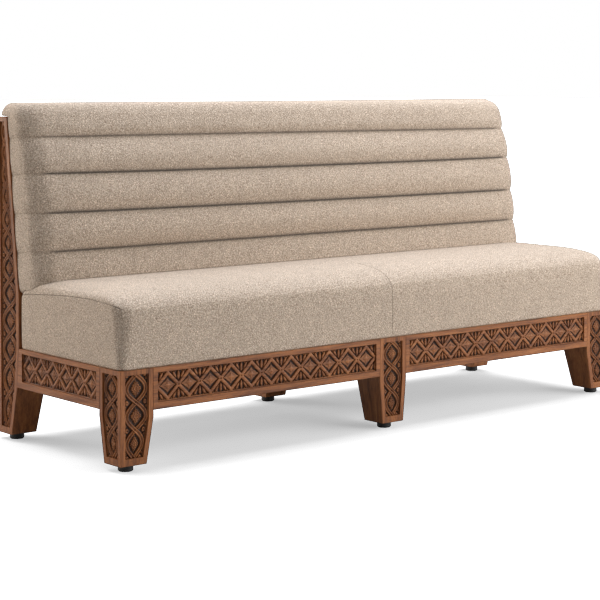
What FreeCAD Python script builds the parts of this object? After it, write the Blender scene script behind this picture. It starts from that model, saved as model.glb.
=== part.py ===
# Upholstered banquette bench: a carved hardwood frame on six legs, a one-piece padded seat and a channelled
# padded back between two raked posts. Millimetres. X runs along the bench, the front faces -Y and Z is up.
# The origin is on the floor under the middle of the bench's box.
import FreeCAD, Part
import math
import os

Vector = FreeCAD.Vector

# Overall size
bench_length = 2000.0
bench_depth = 650.0
back_height = 993.0

# Frame heights
frame_top = 280.0
rail_height = 115.0
foot_level = 20.0
straight_below_rail = 18.0

# Front and centre legs: square above, tapered to the foot on the hidden sides
leg_width = 108.0
leg_depth = 104.0
leg_foot_width = 85.0
leg_foot_depth = 81.0

# Rear posts: one board from the foot to the top of the back, raked above the seat
post_width = 96.0
post_foot_width = 83.0
post_seat_depth = 124.0
post_rail_depth = 112.0
post_foot_depth = 80.0
post_top_depth = 62.0
post_cover = 38.0
rake_start = 440.0
post_bend_radius = 420.0
post_knee_radius = 160.0

# Rails and their tenons
rail_thickness = 36.0
rear_rail_thickness = 28.0
rear_rail_inset = 7.0
cross_rail_width = 60.0
cross_rail_height = 90.0
tenon_length = 30.0
tenon_thickness = 12.0
tenon_shoulder = 17.0
tenon_setback = 20.0
rear_tenon_setback = 8.0
cross_tenon_thickness = 24.0
cross_tenon_length = 25.0
tenon_clearance = 0.2

# Recesses for the carved panels, and the panels that are glued into them
stile_width = 15.0
post_rear_stile = 22.0
top_band = 13.0
bottom_band = 19.0
recess_depth = 12.0
panel_thickness = 7.0
panel_clearance = 0.3

# Width of the small bevel along the frame's outer corners
arris = 1.5

# Glue blocks in the corners, cleats, and the screws that hold the boards
block_leg = 50.0
block_height = 70.0
cleat_thickness = 28.0
cleat_height = 40.0
cleat_end_gap = 12.0
screw_length = 50.0
screw_radius = 2.5
screw_head_radius = 5.0
screw_head_height = 3.0
screw_fit = 0.1
seat_screw_inset = 130.0
back_screw_inset = 150.0

# Small round pieces and their holes have this many flat sides, and a levelling foot's pad has more
small_sides = 8
pad_sides = 32

# Levelling feet: a nylon pad on a threaded stem, screwed into a tee nut in the foot
glide_radius = 20.5
glide_rim = 2.0
glide_gap = 0.3
stem_radius = 4.0
stem_spare = 22.0
stem_clearance = 0.1
tee_flange_radius = 11.0
tee_flange_thickness = 1.6
tee_barrel_radius = 5.6
tee_barrel_length = 16.0
stem_run_clearance = 1.0
foot_travel = 8.0

# Seat unit
seat_board_thickness = 18.0
seat_side_height = 165.0
seat_crown = 50.0
seat_draw_in = 4.0
seat_front_reveal = 2.0
seat_side_reveal = 0.5
seat_back_gap = 2.0
seat_corner_radius = 32.0
seat_rear_radius = 8.0
cover_thickness = 2.5
soft_clearance = 0.3

# Back unit
back_seam_depth = 117.0
channel_bulge = 17.0
channel_side_bulge = 4.0
channel_count = 4
top_roll_height = 97.0
back_side_reveal = 2.0
back_corner_radius = 42.0
back_rear_inset = 10.0
back_foot_drop = 15.0
back_foot_roll = 26.0
back_board_thickness = 12.0
back_board_margin = 16.0
back_board_lift = 54.0

# Back frame behind the padding
back_rail_height = 60.0
back_rail_thickness = 40.0
back_tenon_inset = 10.0
lower_back_rail_level = 480.0
rib_thickness = 24.0
rib_rear_inset = 7.0
rib_share = 0.25
outside_cover_thickness = 2.5
outside_cover_lap = 30.0
outside_cover_gap = 1.0
dust_cover_thickness = 1.0
dust_cover_inset = 8.0

# Below this sine of its turn, a point lies on the line between its neighbours
straight_turn = 1e-6

# Levels of a padded side: share of the height, share of the full bulge. The foam under a cover has fewer levels.
bulge_shares = ((0.0, 0.0), (0.06, 0.58), (0.2, 0.92), (0.45, 1.0), (0.74, 0.7), (0.92, 0.3), (1.0, 0.0))
foam_bulge_shares = ((0.0, 0.0), (0.2, 0.92), (0.45, 1.0), (0.74, 0.7), (1.0, 0.0))
# Levels of the seat's crown: share of its height, then the shares of the seat's depth by which its ends, its front
# and its rear are drawn in and its corners grow rounder
crown_shares = (
    (0.0, 0.0, 0.0, 0.0, 0.0), (0.26, 0.003, 0.026, 0.03, 0.018), (0.54, 0.017, 0.07, 0.1, 0.044),
    (0.78, 0.065, 0.136, 0.194, 0.065), (0.92, 0.135, 0.21, 0.288, 0.07), (1.0, 0.25, 0.31, 0.404, 0.055))
# Levels of the back's top roll above its last seam: share of its height, share of its draw-in
roll_shares = ((0.0, -0.28), (0.08, -0.15), (0.22, -0.05), (0.5, 0.0), (0.65, 0.05), (0.8, 0.2), (0.92, 0.46),
               (0.98, 0.75), (1.0, 1.0))
top_roll_draw_in = 26.0
# The padding gets thinner towards the top: share of the back's height above its lowest seam, share of the depth
depth_shares = ((0.0, 1.0), (0.41, 1.0), (0.61, 0.965), (0.82, 0.83), (1.0, 0.66))

half_length = bench_length / 2
post_top = back_height - post_cover
stem_length = tee_barrel_length + foot_travel + stem_spare
front_y = -bench_depth / 2
rear_y = bench_depth / 2
rail_bottom = frame_top - rail_height
taper_top = rail_bottom - straight_below_rail
post_front_y = rear_y - post_seat_depth
seat_seam_level = frame_top + seat_side_height

os.makedirs("parts", exist_ok=True)
shapes = {}


# Profiles

def tidy_points(points):
    """The points without repeats and without those that lie on the line between their neighbours."""
    kept = []
    count = len(points)
    for i in range(count):
        ax, ay = points[i - 1]
        bx, by = points[i]
        cx, cy = points[(i + 1) % count]
        before = math.hypot(bx - ax, by - ay)
        after = math.hypot(cx - bx, cy - by)
        if before * after == 0:
            continue
        turn = ((bx - ax) * (cy - by) - (by - ay) * (cx - bx)) / (before * after)
        if abs(turn) > straight_turn:
            kept.append(points[i])
    return kept


def rounded_edges(points, radii, place):
    """Edges of a closed outline whose corner i is rounded by radii[i]; place turns (u, v) into a point."""
    count = len(points)
    starts, ends, arcs = [], [], []
    for i in range(count):
        ax, ay = points[i - 1]
        bx, by = points[i]
        cx, cy = points[(i + 1) % count]
        before = math.hypot(ax - bx, ay - by)
        after = math.hypot(cx - bx, cy - by)
        ux, uy = (ax - bx) / before, (ay - by) / before
        vx, vy = (cx - bx) / after, (cy - by) / after
        radius = radii.get(i, 0)
        if radius == 0:
            starts.append((bx, by))
            ends.append((bx, by))
            arcs.append(None)
            continue
        half_angle = math.acos(max(-1, min(1, ux * vx + uy * vy))) / 2
        reach = radius / math.tan(half_angle)
        to_centre = radius / math.sin(half_angle)
        wx, wy = ux + vx, uy + vy
        size = math.hypot(wx, wy)
        middle = to_centre - radius
        starts.append((bx + ux * reach, by + uy * reach))
        ends.append((bx + vx * reach, by + vy * reach))
        arcs.append((bx + wx / size * middle, by + wy / size * middle))
    edges = []
    for i in range(count):
        if arcs[i] is not None:
            edges.append(Part.Arc(place(*starts[i]), place(*arcs[i]), place(*ends[i])).toShape())
        edges.append(Part.makeLine(place(*ends[i]), place(*starts[(i + 1) % count])))
    return edges


def prism_across(points, x0, x1, radii=None):
    """A solid with an outline in the YZ plane, from x0 to x1."""
    radii = radii or {}
    points = points if radii else tidy_points(points)
    wire = Part.Wire(rounded_edges(points, radii, lambda y, z: Vector(x0, y, z)))
    return Part.Face(wire).extrude(Vector(x1 - x0, 0, 0))


def prism_deep(points, y0, y1):
    """A solid with an outline in the XZ plane, from y0 to y1."""
    wire = Part.Wire(rounded_edges(tidy_points(points), {}, lambda x, z: Vector(x, y0, z)))
    return Part.Face(wire).extrude(Vector(0, y1 - y0, 0))


def prism_up(points, z0, z1):
    """A solid with an outline in the XY plane, from z0 to z1."""
    wire = Part.Wire(rounded_edges(tidy_points(points), {}, lambda x, y: Vector(x, y, z0)))
    return Part.Face(wire).extrude(Vector(0, 0, z1 - z0))


def block(x0, x1, y0, y1, z0, z1):
    """A box between two corners, given in any order."""
    low = Vector(min(x0, x1), min(y0, y1), min(z0, z1))
    return Part.makeBox(abs(x1 - x0), abs(y1 - y0), abs(z1 - z0), low)


def flat_ring(radius, centre, direction, sides):
    """A closed outline with this many sides round a point, square to direction."""
    first = Vector(1, 0, 0) if direction.x == 0 else Vector(0, 1, 0)
    second = direction.cross(first)
    points = []
    for i in range(sides + 1):
        angle = 2 * math.pi * i / sides
        points.append(centre + first * (radius * math.cos(angle)) + second * (radius * math.sin(angle)))
    return Part.makePolygon(points)


def rod(radius, start, direction, length, sides=small_sides):
    """A bar of this length from a point."""
    return Part.Face(flat_ring(radius, start, direction, sides)).extrude(direction * length)


def flare(radius, end_radius, start, direction, length):
    """A short bar that widens to end_radius, as under a countersunk head."""
    near = flat_ring(radius, start, direction, small_sides)
    far = flat_ring(end_radius, start + direction * length, direction, small_sides)
    return Part.makeLoft([near, far], True, True)


def mirrored(shape):
    """The same piece for the other end of the bench."""
    return shape.mirror(Vector(0, 0, 0), Vector(1, 0, 0))


def eased(shape, on_face, rising):
    """The shape with a small bevel along the edges of an outer face: its upright edges, or its level ones."""
    edges = []
    for edge in shape.Edges:
        box = edge.BoundBox
        if all(on_face(vertex) for vertex in edge.Vertexes) and (box.ZLength > arris) == rising:
            edges.append(edge)
    return shape.makeChamfer(arris, edges)


def on_front(vertex):
    """Whether a corner lies in the bench's front face."""
    return abs(vertex.Y - front_y) < straight_turn


def on_left_end(vertex):
    """Whether a corner lies in the bench's left end face."""
    return abs(vertex.X + half_length) < straight_turn


def joined(pieces):
    """One solid made of pieces that share faces or overlap."""
    whole = pieces[0]
    for piece in pieces[1:]:
        whole = whole.fuse(piece)
    return whole.removeSplitter()


def group(pieces):
    """Separate solids under one name."""
    return Part.makeCompound(pieces)


def padded_solid(stretches):
    """One solid of lofted stretches; each starts on the outline where the one below it ends, at a seam."""
    faces = [Part.Face(stretches[0][0]), Part.Face(stretches[-1][-1])]
    for outlines in stretches:
        faces += Part.makeLoft(outlines, False, True).Faces
    shell = Part.Shell(faces)
    shell.sewShape()
    solid = Part.Solid(shell)
    if solid.Volume < 0:
        solid.reverse()
    return solid


# Outlines of the legs and posts

def leg_side(straight, foot, level):
    """Distance from a leg's outer face to its tapered face at a height: straight above, tapered below."""
    if level >= taper_top:
        return straight
    return foot + (straight - foot) * (level - foot_level) / (taper_top - foot_level)


def leg_front_outline(left_x, right_x, left_slope, right_slope, inset, low, high):
    """Front view of a leg or of the recess in it; a slope is how far that side draws in at the foot."""
    def drawn_in(slope, level):
        return leg_side(0, slope, level) + inset

    return [
        (left_x + drawn_in(left_slope, low), low),
        (left_x + drawn_in(left_slope, taper_top), taper_top),
        (left_x + inset, high),
        (right_x - inset, high),
        (right_x - drawn_in(right_slope, taper_top), taper_top),
        (right_x - drawn_in(right_slope, low), low),
    ]


def leg_side_outline(front_inset, rear_inset, low, high):
    """Side view of a front leg or of the recess in it: upright front face, rear face drawn in at the foot."""
    def rear_face(level):
        return front_y + leg_side(leg_depth, leg_foot_depth, level) - rear_inset

    return [
        (front_y + front_inset, low),
        (front_y + front_inset, high),
        (rear_face(high), high),
        (rear_face(taper_top), taper_top),
        (rear_face(low), low),
    ]


def post_front_at(level):
    """Y of a rear post's front edge at a height, before its corners are eased."""
    if level <= rail_bottom:
        depth = post_foot_depth
        depth += (post_rail_depth - post_foot_depth) * (level - foot_level) / (rail_bottom - foot_level)
    elif level <= frame_top:
        depth = post_rail_depth
        depth += (post_seat_depth - post_rail_depth) * (level - rail_bottom) / rail_height
    elif level <= rake_start:
        depth = post_seat_depth
    else:
        depth = post_seat_depth
        depth -= (post_seat_depth - post_top_depth) * (level - rake_start) / (post_top - rake_start)
    return rear_y - depth


def post_outline(front_inset, rear_inset, low, high):
    """Side view of a rear post, or of the recess in it, as points from the front foot upwards."""
    return [
        (post_front_at(low) + front_inset, low),
        (post_front_at(rail_bottom) + front_inset, rail_bottom),
        (post_front_at(frame_top) + front_inset, frame_top),
        (post_front_at(rake_start) + front_inset, rake_start),
        (post_front_at(high) + front_inset, high),
        (rear_y - rear_inset, high),
        (rear_y - rear_inset, low),
    ]


post_radii = {1: post_knee_radius, 2: post_knee_radius, 3: post_bend_radius}


# Tenons, and the mortises that take them

def rail_tenon(end_x, inward, face_y, direction, setback, clearance=0.0):
    """Tenon of a rail along X: it starts at end_x and runs towards inward, behind the rail's outer face."""
    near = face_y + direction * (setback - clearance)
    far = face_y + direction * (setback + tenon_thickness + clearance)
    low = rail_bottom + tenon_shoulder - clearance
    high = frame_top - tenon_shoulder + clearance
    return block(end_x, end_x + inward * (tenon_length + clearance), near, far, low, high)


def side_tenon(end_y, inward, clearance=0.0):
    """Tenon of the left side rail, along Y."""
    near = -half_length + tenon_setback - clearance
    far = near + tenon_thickness + 2 * clearance
    low = rail_bottom + tenon_shoulder - clearance
    high = frame_top - tenon_shoulder + clearance
    return block(near, far, end_y, end_y + inward * (tenon_length + clearance), low, high)


def cross_tenon(end_y, inward, clearance=0.0):
    """Tenon of the cross rail, along Y."""
    reach = cross_tenon_thickness / 2 + clearance
    low = frame_top - cross_rail_height + tenon_shoulder - clearance
    high = frame_top - tenon_shoulder + clearance
    return block(-reach, reach, end_y, end_y + inward * (cross_tenon_length + clearance), low, high)


# Levelling feet and the holes for them

def foot_hole(x, y):
    """Hole in a leg's foot for the tee nut, with running room for the stem above it."""
    flange = rod(tee_flange_radius, Vector(x, y, foot_level), Vector(0, 0, 1), tee_flange_thickness)
    barrel_end = tee_barrel_length + stem_run_clearance
    barrel = rod(tee_barrel_radius, Vector(x, y, foot_level), Vector(0, 0, 1), barrel_end)
    stem_room = stem_length + stem_run_clearance
    channel = rod(stem_radius + stem_run_clearance, Vector(x, y, foot_level), Vector(0, 0, 1), stem_room)
    return flange.fuse(barrel).fuse(channel)


def tee_nut(x, y):
    """Flanged threaded bush that a levelling foot screws into."""
    flange = rod(tee_flange_radius, Vector(x, y, foot_level), Vector(0, 0, 1), tee_flange_thickness)
    barrel = rod(tee_barrel_radius, Vector(x, y, foot_level), Vector(0, 0, 1), tee_barrel_length)
    bore = rod(stem_radius + stem_clearance, Vector(x, y, foot_level), Vector(0, 0, 1), tee_barrel_length)
    return flange.fuse(barrel).cut(bore)


def glide_pad(x, y):
    """Nylon pad that stands on the floor, with a sloping rim under it."""
    pad = rod(glide_radius, Vector(x, y, 0), Vector(0, 0, 1), foot_level - glide_gap, pad_sides)
    lowest = [edge for edge in pad.Edges if edge.BoundBox.ZMax < glide_rim]
    return pad.makeChamfer(glide_rim, lowest)


def glide_stem(x, y):
    """Threaded stem that stands on the pad and is screwed up into the tee nut."""
    start = foot_level - glide_gap
    return rod(stem_radius, Vector(x, y, start), Vector(0, 0, 1), foot_level + stem_length - start)


leg_foot_x = half_length - leg_foot_width / 2
leg_foot_y = front_y + leg_foot_depth / 2
post_foot_x = half_length - post_foot_width / 2
post_foot_y = rear_y - post_foot_depth / 2
foot_places = {
    "front_left": (-leg_foot_x, leg_foot_y),
    "front_centre": (0, leg_foot_y),
    "front_right": (leg_foot_x, leg_foot_y),
    "rear_left": (-post_foot_x, post_foot_y),
    "rear_centre": (0, post_foot_y),
    "rear_right": (post_foot_x, post_foot_y),
}

for place_name, (foot_x, foot_y) in foot_places.items():
    shapes["glide_pad_" + place_name] = glide_pad(foot_x, foot_y)
    shapes["glide_stem_" + place_name] = glide_stem(foot_x, foot_y)
shapes["tee_nuts"] = group([tee_nut(foot_x, foot_y) for foot_x, foot_y in foot_places.values()])


# Front legs and their carved panels

panel_low = foot_level + bottom_band
panel_high = frame_top - top_band
leg_draw_in = leg_width - leg_foot_width
corner_leg_left = -half_length
corner_leg_right = -half_length + leg_width
centre_leg_left = -leg_width / 2
centre_leg_right = leg_width / 2
panel_inset = stile_width + panel_clearance
panel_back = recess_depth - panel_thickness


def front_recess(left_x, right_x, left_slope, right_slope, near, far, clearance=0.0):
    """Recess in a leg's front face, or the panel that fills it, between two depths behind the face."""
    low = panel_low + clearance
    high = panel_high - clearance
    inset = stile_width + clearance
    outline = leg_front_outline(left_x, right_x, left_slope, right_slope, inset, low, high)
    return prism_deep(outline, front_y + near, front_y + far)


def side_recess(near, far, clearance=0.0):
    """Recess in the left leg's outer side, or the panel that fills it."""
    inset = stile_width + clearance
    outline = leg_side_outline(inset, inset, panel_low + clearance, panel_high - clearance)
    return prism_across(outline, -half_length + near, -half_length + far)


leg_profile_side = prism_across(leg_side_outline(0, 0, foot_level, frame_top), -half_length, half_length)

corner_outline = leg_front_outline(corner_leg_left, corner_leg_right, 0, leg_draw_in, 0, foot_level, frame_top)
corner_leg = prism_deep(corner_outline, front_y, front_y + leg_depth).common(leg_profile_side)
corner_leg = eased(corner_leg, lambda vertex: on_front(vertex) or on_left_end(vertex), True)
corner_leg = corner_leg.cut(front_recess(corner_leg_left, corner_leg_right, 0, leg_draw_in, 0, recess_depth))
corner_leg = corner_leg.cut(side_recess(0, recess_depth))
corner_leg = corner_leg.cut(rail_tenon(corner_leg_right, -1, front_y, 1, tenon_setback, tenon_clearance))
corner_leg = corner_leg.cut(side_tenon(front_y + leg_depth, -1, tenon_clearance))
corner_leg = corner_leg.cut(foot_hole(-leg_foot_x, leg_foot_y))
shapes["front_leg_left"] = corner_leg
shapes["front_leg_right"] = mirrored(corner_leg)

centre_draw_in = leg_draw_in / 2
centre_outline = leg_front_outline(
    centre_leg_left, centre_leg_right, centre_draw_in, centre_draw_in, 0, foot_level, frame_top)
centre_leg = prism_deep(centre_outline, front_y, front_y + leg_depth).common(leg_profile_side)
centre_leg = eased(centre_leg, on_front, True)
centre_leg = centre_leg.cut(
    front_recess(centre_leg_left, centre_leg_right, centre_draw_in, centre_draw_in, 0, recess_depth))
centre_leg = centre_leg.cut(rail_tenon(centre_leg_left, 1, front_y, 1, tenon_setback, tenon_clearance))
centre_leg = centre_leg.cut(rail_tenon(centre_leg_right, -1, front_y, 1, tenon_setback, tenon_clearance))
centre_leg = centre_leg.cut(cross_tenon(front_y + leg_depth, -1, tenon_clearance))
shapes["front_leg_centre"] = centre_leg.cut(foot_hole(0, leg_foot_y))

corner_front_panel = front_recess(
    corner_leg_left, corner_leg_right, 0, leg_draw_in, panel_back, recess_depth, panel_clearance)
corner_side_panel = side_recess(panel_back, recess_depth, panel_clearance)
shapes["leg_front_panel_left"] = corner_front_panel
shapes["leg_front_panel_right"] = mirrored(corner_front_panel)
shapes["leg_side_panel_left"] = corner_side_panel
shapes["leg_side_panel_right"] = mirrored(corner_side_panel)
shapes["leg_front_panel_centre"] = front_recess(
    centre_leg_left, centre_leg_right, centre_draw_in, centre_draw_in, panel_back, recess_depth, panel_clearance)


# Rear posts, the rear centre leg and the posts' carved panels

def post_recess(near, far, clearance=0.0):
    """Tall recess in the left post's outer side, or the panel that fills it."""
    low = panel_low + clearance
    high = post_top - top_band - clearance
    outline = post_outline(stile_width + clearance, post_rear_stile + clearance, low, high)
    return prism_across(outline, -half_length + near, -half_length + far, post_radii)


def post_draw_in_outline(left_x, right_x, left_slope, right_slope, high):
    """Front view of a rear leg or post: upright above the rail, drawn in below it."""
    return [
        (left_x + left_slope, foot_level),
        (left_x, rail_bottom),
        (left_x, high),
        (right_x, high),
        (right_x, rail_bottom),
        (right_x - right_slope, foot_level),
    ]


def back_rail_outline(low, inset=0.0):
    """Section of a back rail: its front face lies on the posts' rake."""
    high = low + back_rail_height
    return [
        (post_front_at(low + inset) + inset, low + inset),
        (post_front_at(high - inset) + inset, high - inset),
        (post_front_at(high - inset) + back_rail_thickness - inset, high - inset),
        (post_front_at(low + inset) + back_rail_thickness - inset, low + inset),
    ]


top_back_rail_level = post_top - back_rail_height
back_rail_levels = {"top": top_back_rail_level, "lower": lower_back_rail_level}
post_inner_x = half_length - post_width
post_draw_in = post_width - post_foot_width
rear_rail_y = rear_y - rear_rail_inset

post_side = prism_across(post_outline(0, 0, foot_level, post_top), -half_length, half_length, post_radii)
post_front = prism_deep(
    post_draw_in_outline(-half_length, -post_inner_x, 0, post_draw_in, post_top), post_front_y, rear_y)
post = eased(post_side.common(post_front), on_left_end, True)
post = post.cut(post_recess(0, recess_depth))
post = post.cut(rail_tenon(-post_inner_x, -1, rear_rail_y, -1, rear_tenon_setback, tenon_clearance))
post = post.cut(side_tenon(post_front_y, 1, tenon_clearance))
post = post.cut(foot_hole(-post_foot_x, post_foot_y))
for rail_level in back_rail_levels.values():
    mortise = back_rail_outline(rail_level, back_tenon_inset - tenon_clearance)
    post = post.cut(prism_across(mortise, -post_inner_x - tenon_length - tenon_clearance, -post_inner_x))
shapes["rear_post_left"] = post
shapes["rear_post_right"] = mirrored(post)
post_panel = post_recess(panel_back, recess_depth, panel_clearance)
shapes["post_panel_left"] = post_panel
shapes["post_panel_right"] = mirrored(post_panel)

rear_leg_half = post_width / 2
rear_leg_front_y = rear_y - post_rail_depth
rear_leg = prism_deep(
    post_draw_in_outline(-rear_leg_half, rear_leg_half, post_draw_in / 2, post_draw_in / 2, frame_top),
    rear_leg_front_y, rear_y)
rear_leg_side = [
    (rear_y - post_foot_depth, foot_level),
    (rear_leg_front_y, rail_bottom),
    (rear_leg_front_y, frame_top),
    (rear_y, frame_top),
    (rear_y, foot_level),
]
rear_leg = rear_leg.common(prism_across(rear_leg_side, -rear_leg_half, rear_leg_half))
rear_leg = rear_leg.cut(rail_tenon(-rear_leg_half, 1, rear_rail_y, -1, rear_tenon_setback, tenon_clearance))
rear_leg = rear_leg.cut(rail_tenon(rear_leg_half, -1, rear_rail_y, -1, rear_tenon_setback, tenon_clearance))
rear_leg = rear_leg.cut(cross_tenon(rear_leg_front_y, 1, tenon_clearance))
shapes["rear_leg_centre"] = rear_leg.cut(foot_hole(0, post_foot_y))


# Rails

rail_panel_low = rail_bottom + bottom_band
front_rail_left_x = corner_leg_right
front_rail_right_x = centre_leg_left
front_rail = block(
    front_rail_left_x, front_rail_right_x, front_y, front_y + rail_thickness, rail_bottom, frame_top)
front_rail = joined([
    eased(front_rail, on_front, False),
    rail_tenon(front_rail_left_x, -1, front_y, 1, tenon_setback),
    rail_tenon(front_rail_right_x, 1, front_y, 1, tenon_setback),
])
front_rail_recess = block(
    front_rail_left_x + stile_width, front_rail_right_x - stile_width, front_y, front_y + recess_depth,
    rail_panel_low, panel_high)
front_panel = block(
    front_rail_left_x + panel_inset, front_rail_right_x - panel_inset, front_y + panel_back,
    front_y + recess_depth, rail_panel_low + panel_clearance, panel_high - panel_clearance)
front_rail = front_rail.cut(front_rail_recess)
shapes["front_rail_left"] = front_rail
shapes["front_rail_right"] = mirrored(front_rail)
shapes["front_panel_left"] = front_panel
shapes["front_panel_right"] = mirrored(front_panel)

# The side rail is scribed to the post's sloping front edge, so its rear end follows that slope.
side_front_y = front_y + leg_depth
side_outline = [
    (side_front_y, rail_bottom),
    (side_front_y, frame_top),
    (post_front_at(frame_top), frame_top),
    (post_front_at(rail_bottom), rail_bottom),
]
side_rail = prism_across(side_outline, -half_length, -half_length + rail_thickness)
side_rail = side_rail.cut(post_side)
side_rail = joined([side_rail, side_tenon(side_front_y, -1), side_tenon(post_front_y, 1)])
side_recess_rear = post_front_y - stile_width
side_rail = side_rail.cut(block(
    -half_length, -half_length + recess_depth, side_front_y + stile_width, side_recess_rear,
    rail_panel_low, panel_high))
side_panel = block(
    -half_length + panel_back, -half_length + recess_depth, side_front_y + panel_inset,
    side_recess_rear - panel_clearance, rail_panel_low + panel_clearance, panel_high - panel_clearance)
shapes["side_rail_left"] = side_rail
shapes["side_rail_right"] = mirrored(side_rail)
shapes["side_panel_left"] = side_panel
shapes["side_panel_right"] = mirrored(side_panel)

rear_rail = joined([
    block(-post_inner_x, -rear_leg_half, rear_rail_y - rear_rail_thickness, rear_rail_y, rail_bottom, frame_top),
    rail_tenon(-post_inner_x, -1, rear_rail_y, -1, rear_tenon_setback),
    rail_tenon(-rear_leg_half, 1, rear_rail_y, -1, rear_tenon_setback),
])
shapes["rear_rail_left"] = rear_rail
shapes["rear_rail_right"] = mirrored(rear_rail)

cross_front_y = front_y + leg_depth
shapes["cross_rail"] = joined([
    block(-cross_rail_width / 2, cross_rail_width / 2, cross_front_y, rear_leg_front_y,
          frame_top - cross_rail_height, frame_top),
    cross_tenon(cross_front_y, -1),
    cross_tenon(rear_leg_front_y, 1),
])


# Wood screws: one size for the seat board's cleats and the back board's rails

def wood_screw(tip, direction, growth=0.0):
    """Countersunk screw whose point is at tip and whose head lies back along direction."""
    shank = rod(screw_radius + growth, tip - direction * growth, direction,
                screw_length - screw_head_height + growth)
    head_start = tip + direction * (screw_length - screw_head_height)
    head = flare(screw_radius + growth, screw_head_radius + growth, head_start, direction, screw_head_height)
    return shank.fuse(head)


screws = []


def fasten(names, tip, direction):
    """Add a screw, and cut its hole through the pieces that it holds."""
    screws.append(wood_screw(tip, direction))
    access = rod(screw_head_radius + screw_fit, tip + direction * screw_length, direction, screw_length)
    hole = wood_screw(tip, direction, screw_fit).fuse(access)
    for name in names:
        shapes[name] = shapes[name].cut(hole)


# Glue blocks in the angles between the corner legs and the long rails

block_low = rail_bottom + tenon_shoulder
front_block_y = front_y + rail_thickness
front_block_x = -half_length + leg_width
front_block = prism_up([
    (front_block_x, front_block_y),
    (front_block_x + block_leg, front_block_y),
    (front_block_x, front_block_y + block_leg),
], block_low, block_low + block_height)
rear_block_y = rear_rail_y - rear_rail_thickness
rear_block = prism_up([
    (-post_inner_x, rear_block_y),
    (-post_inner_x + block_leg, rear_block_y),
    (-post_inner_x, rear_block_y - block_leg),
], block_low, block_low + block_height)
shapes["corner_block_front_left"] = front_block
shapes["corner_block_front_right"] = mirrored(front_block)
shapes["corner_block_rear_left"] = rear_block
shapes["corner_block_rear_right"] = mirrored(rear_block)

# Cleats along the long rails carry the screws that hold the seat board down
cleat_top = frame_top
front_cleat = block(
    front_block_x + block_leg + cleat_end_gap, centre_leg_left - cleat_end_gap, front_block_y,
    front_block_y + cleat_thickness, cleat_top - cleat_height, cleat_top)
rear_cleat = block(
    -post_inner_x + block_leg + cleat_end_gap, -rear_leg_half - cleat_end_gap, rear_block_y - cleat_thickness,
    rear_block_y, cleat_top - cleat_height, cleat_top)
shapes["seat_cleat_front_left"] = front_cleat
shapes["seat_cleat_front_right"] = mirrored(front_cleat)
shapes["seat_cleat_rear_left"] = rear_cleat
shapes["seat_cleat_rear_right"] = mirrored(rear_cleat)


# Seat unit: a plywood board under a crowned foam block in a fabric cover

def padded_outline(half_x, near_y, far_y, near_radius, far_radius, level):
    """A rounded rectangle at one height, as a wire that always starts at the same corner."""
    points = [(-half_x, near_y), (half_x, near_y), (half_x, far_y), (-half_x, far_y)]
    radii = {0: near_radius, 1: near_radius, 2: far_radius, 3: far_radius}
    return Part.Wire(rounded_edges(points, radii, lambda x, y: Vector(x, y, level)))


seat_half = half_length - seat_side_reveal
seat_near_y = front_y + seat_front_reveal
seat_far_y = post_front_y - seat_back_gap
seat_low = frame_top + soft_clearance
seat_depth = seat_far_y - seat_near_y


def seat_form(inset, growth=0.0, levels=bulge_shares):
    """The seat's outer form drawn in by inset: bulging sides, a seam line and a crown above it."""
    side_height = seat_seam_level - seat_low
    sides = []
    for height_share, bulge_share in levels:
        draw = seat_draw_in * (1 - bulge_share) + inset - growth
        level = seat_low - growth + (side_height + growth) * height_share
        sides.append(padded_outline(
            seat_half - draw, seat_near_y + draw, seat_far_y - draw,
            seat_corner_radius - inset, seat_rear_radius - inset, level))
    crown = []
    draw = seat_draw_in + inset - growth
    for height_share, side_share, near_share, far_share, corner_share in crown_shares:
        growing = seat_depth * corner_share
        level = seat_seam_level + (seat_crown - inset + growth) * height_share
        crown.append(padded_outline(
            seat_half - draw - seat_depth * side_share, seat_near_y + draw + seat_depth * near_share,
            seat_far_y - draw - seat_depth * far_share,
            seat_corner_radius - inset + growing, seat_rear_radius - inset + growing, level))
    return padded_solid([sides, crown])


board_inset = seat_draw_in + cover_thickness + soft_clearance
seat_board_top = frame_top + seat_board_thickness
board_notch_x = post_inner_x - soft_clearance
board_front_half = seat_half - board_inset
board_rear_y = rear_rail_y
board_step_y = seat_far_y - board_inset
board_radius = seat_corner_radius - cover_thickness - soft_clearance
board_rear_radius = seat_rear_radius - cover_thickness - soft_clearance
board_points = [
    (-board_front_half, seat_near_y + board_inset),
    (board_front_half, seat_near_y + board_inset),
    (board_front_half, board_step_y),
    (board_notch_x, board_step_y),
    (board_notch_x, board_rear_y),
    (-board_notch_x, board_rear_y),
    (-board_notch_x, board_step_y),
    (-board_front_half, board_step_y),
]
board_radii = {0: board_radius, 1: board_radius, 2: board_rear_radius, 7: board_rear_radius}
board_wire = Part.Wire(rounded_edges(board_points, board_radii, lambda x, y: Vector(x, y, frame_top)))
shapes["seat_board"] = Part.Face(board_wire).extrude(Vector(0, 0, seat_board_thickness))

board_room = block(
    -half_length, half_length, front_y, rear_y, frame_top, seat_board_top + soft_clearance)
rear_slot = block(
    -board_notch_x - soft_clearance, board_notch_x + soft_clearance, board_step_y - soft_clearance, rear_y,
    frame_top, seat_board_top + soft_clearance)
seat_hollow = seat_form(cover_thickness, levels=foam_bulge_shares)
shapes["seat_cover"] = seat_form(0).cut(seat_hollow).cut(rear_slot)
seat_block = seat_form(cover_thickness + soft_clearance, levels=foam_bulge_shares)
shapes["seat_foam"] = seat_block.cut(board_room)


# Back unit: a plywood board on the posts' rake, a channelled foam and a cover sewn into channels

channel_base = seat_seam_level + back_foot_drop


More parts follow.
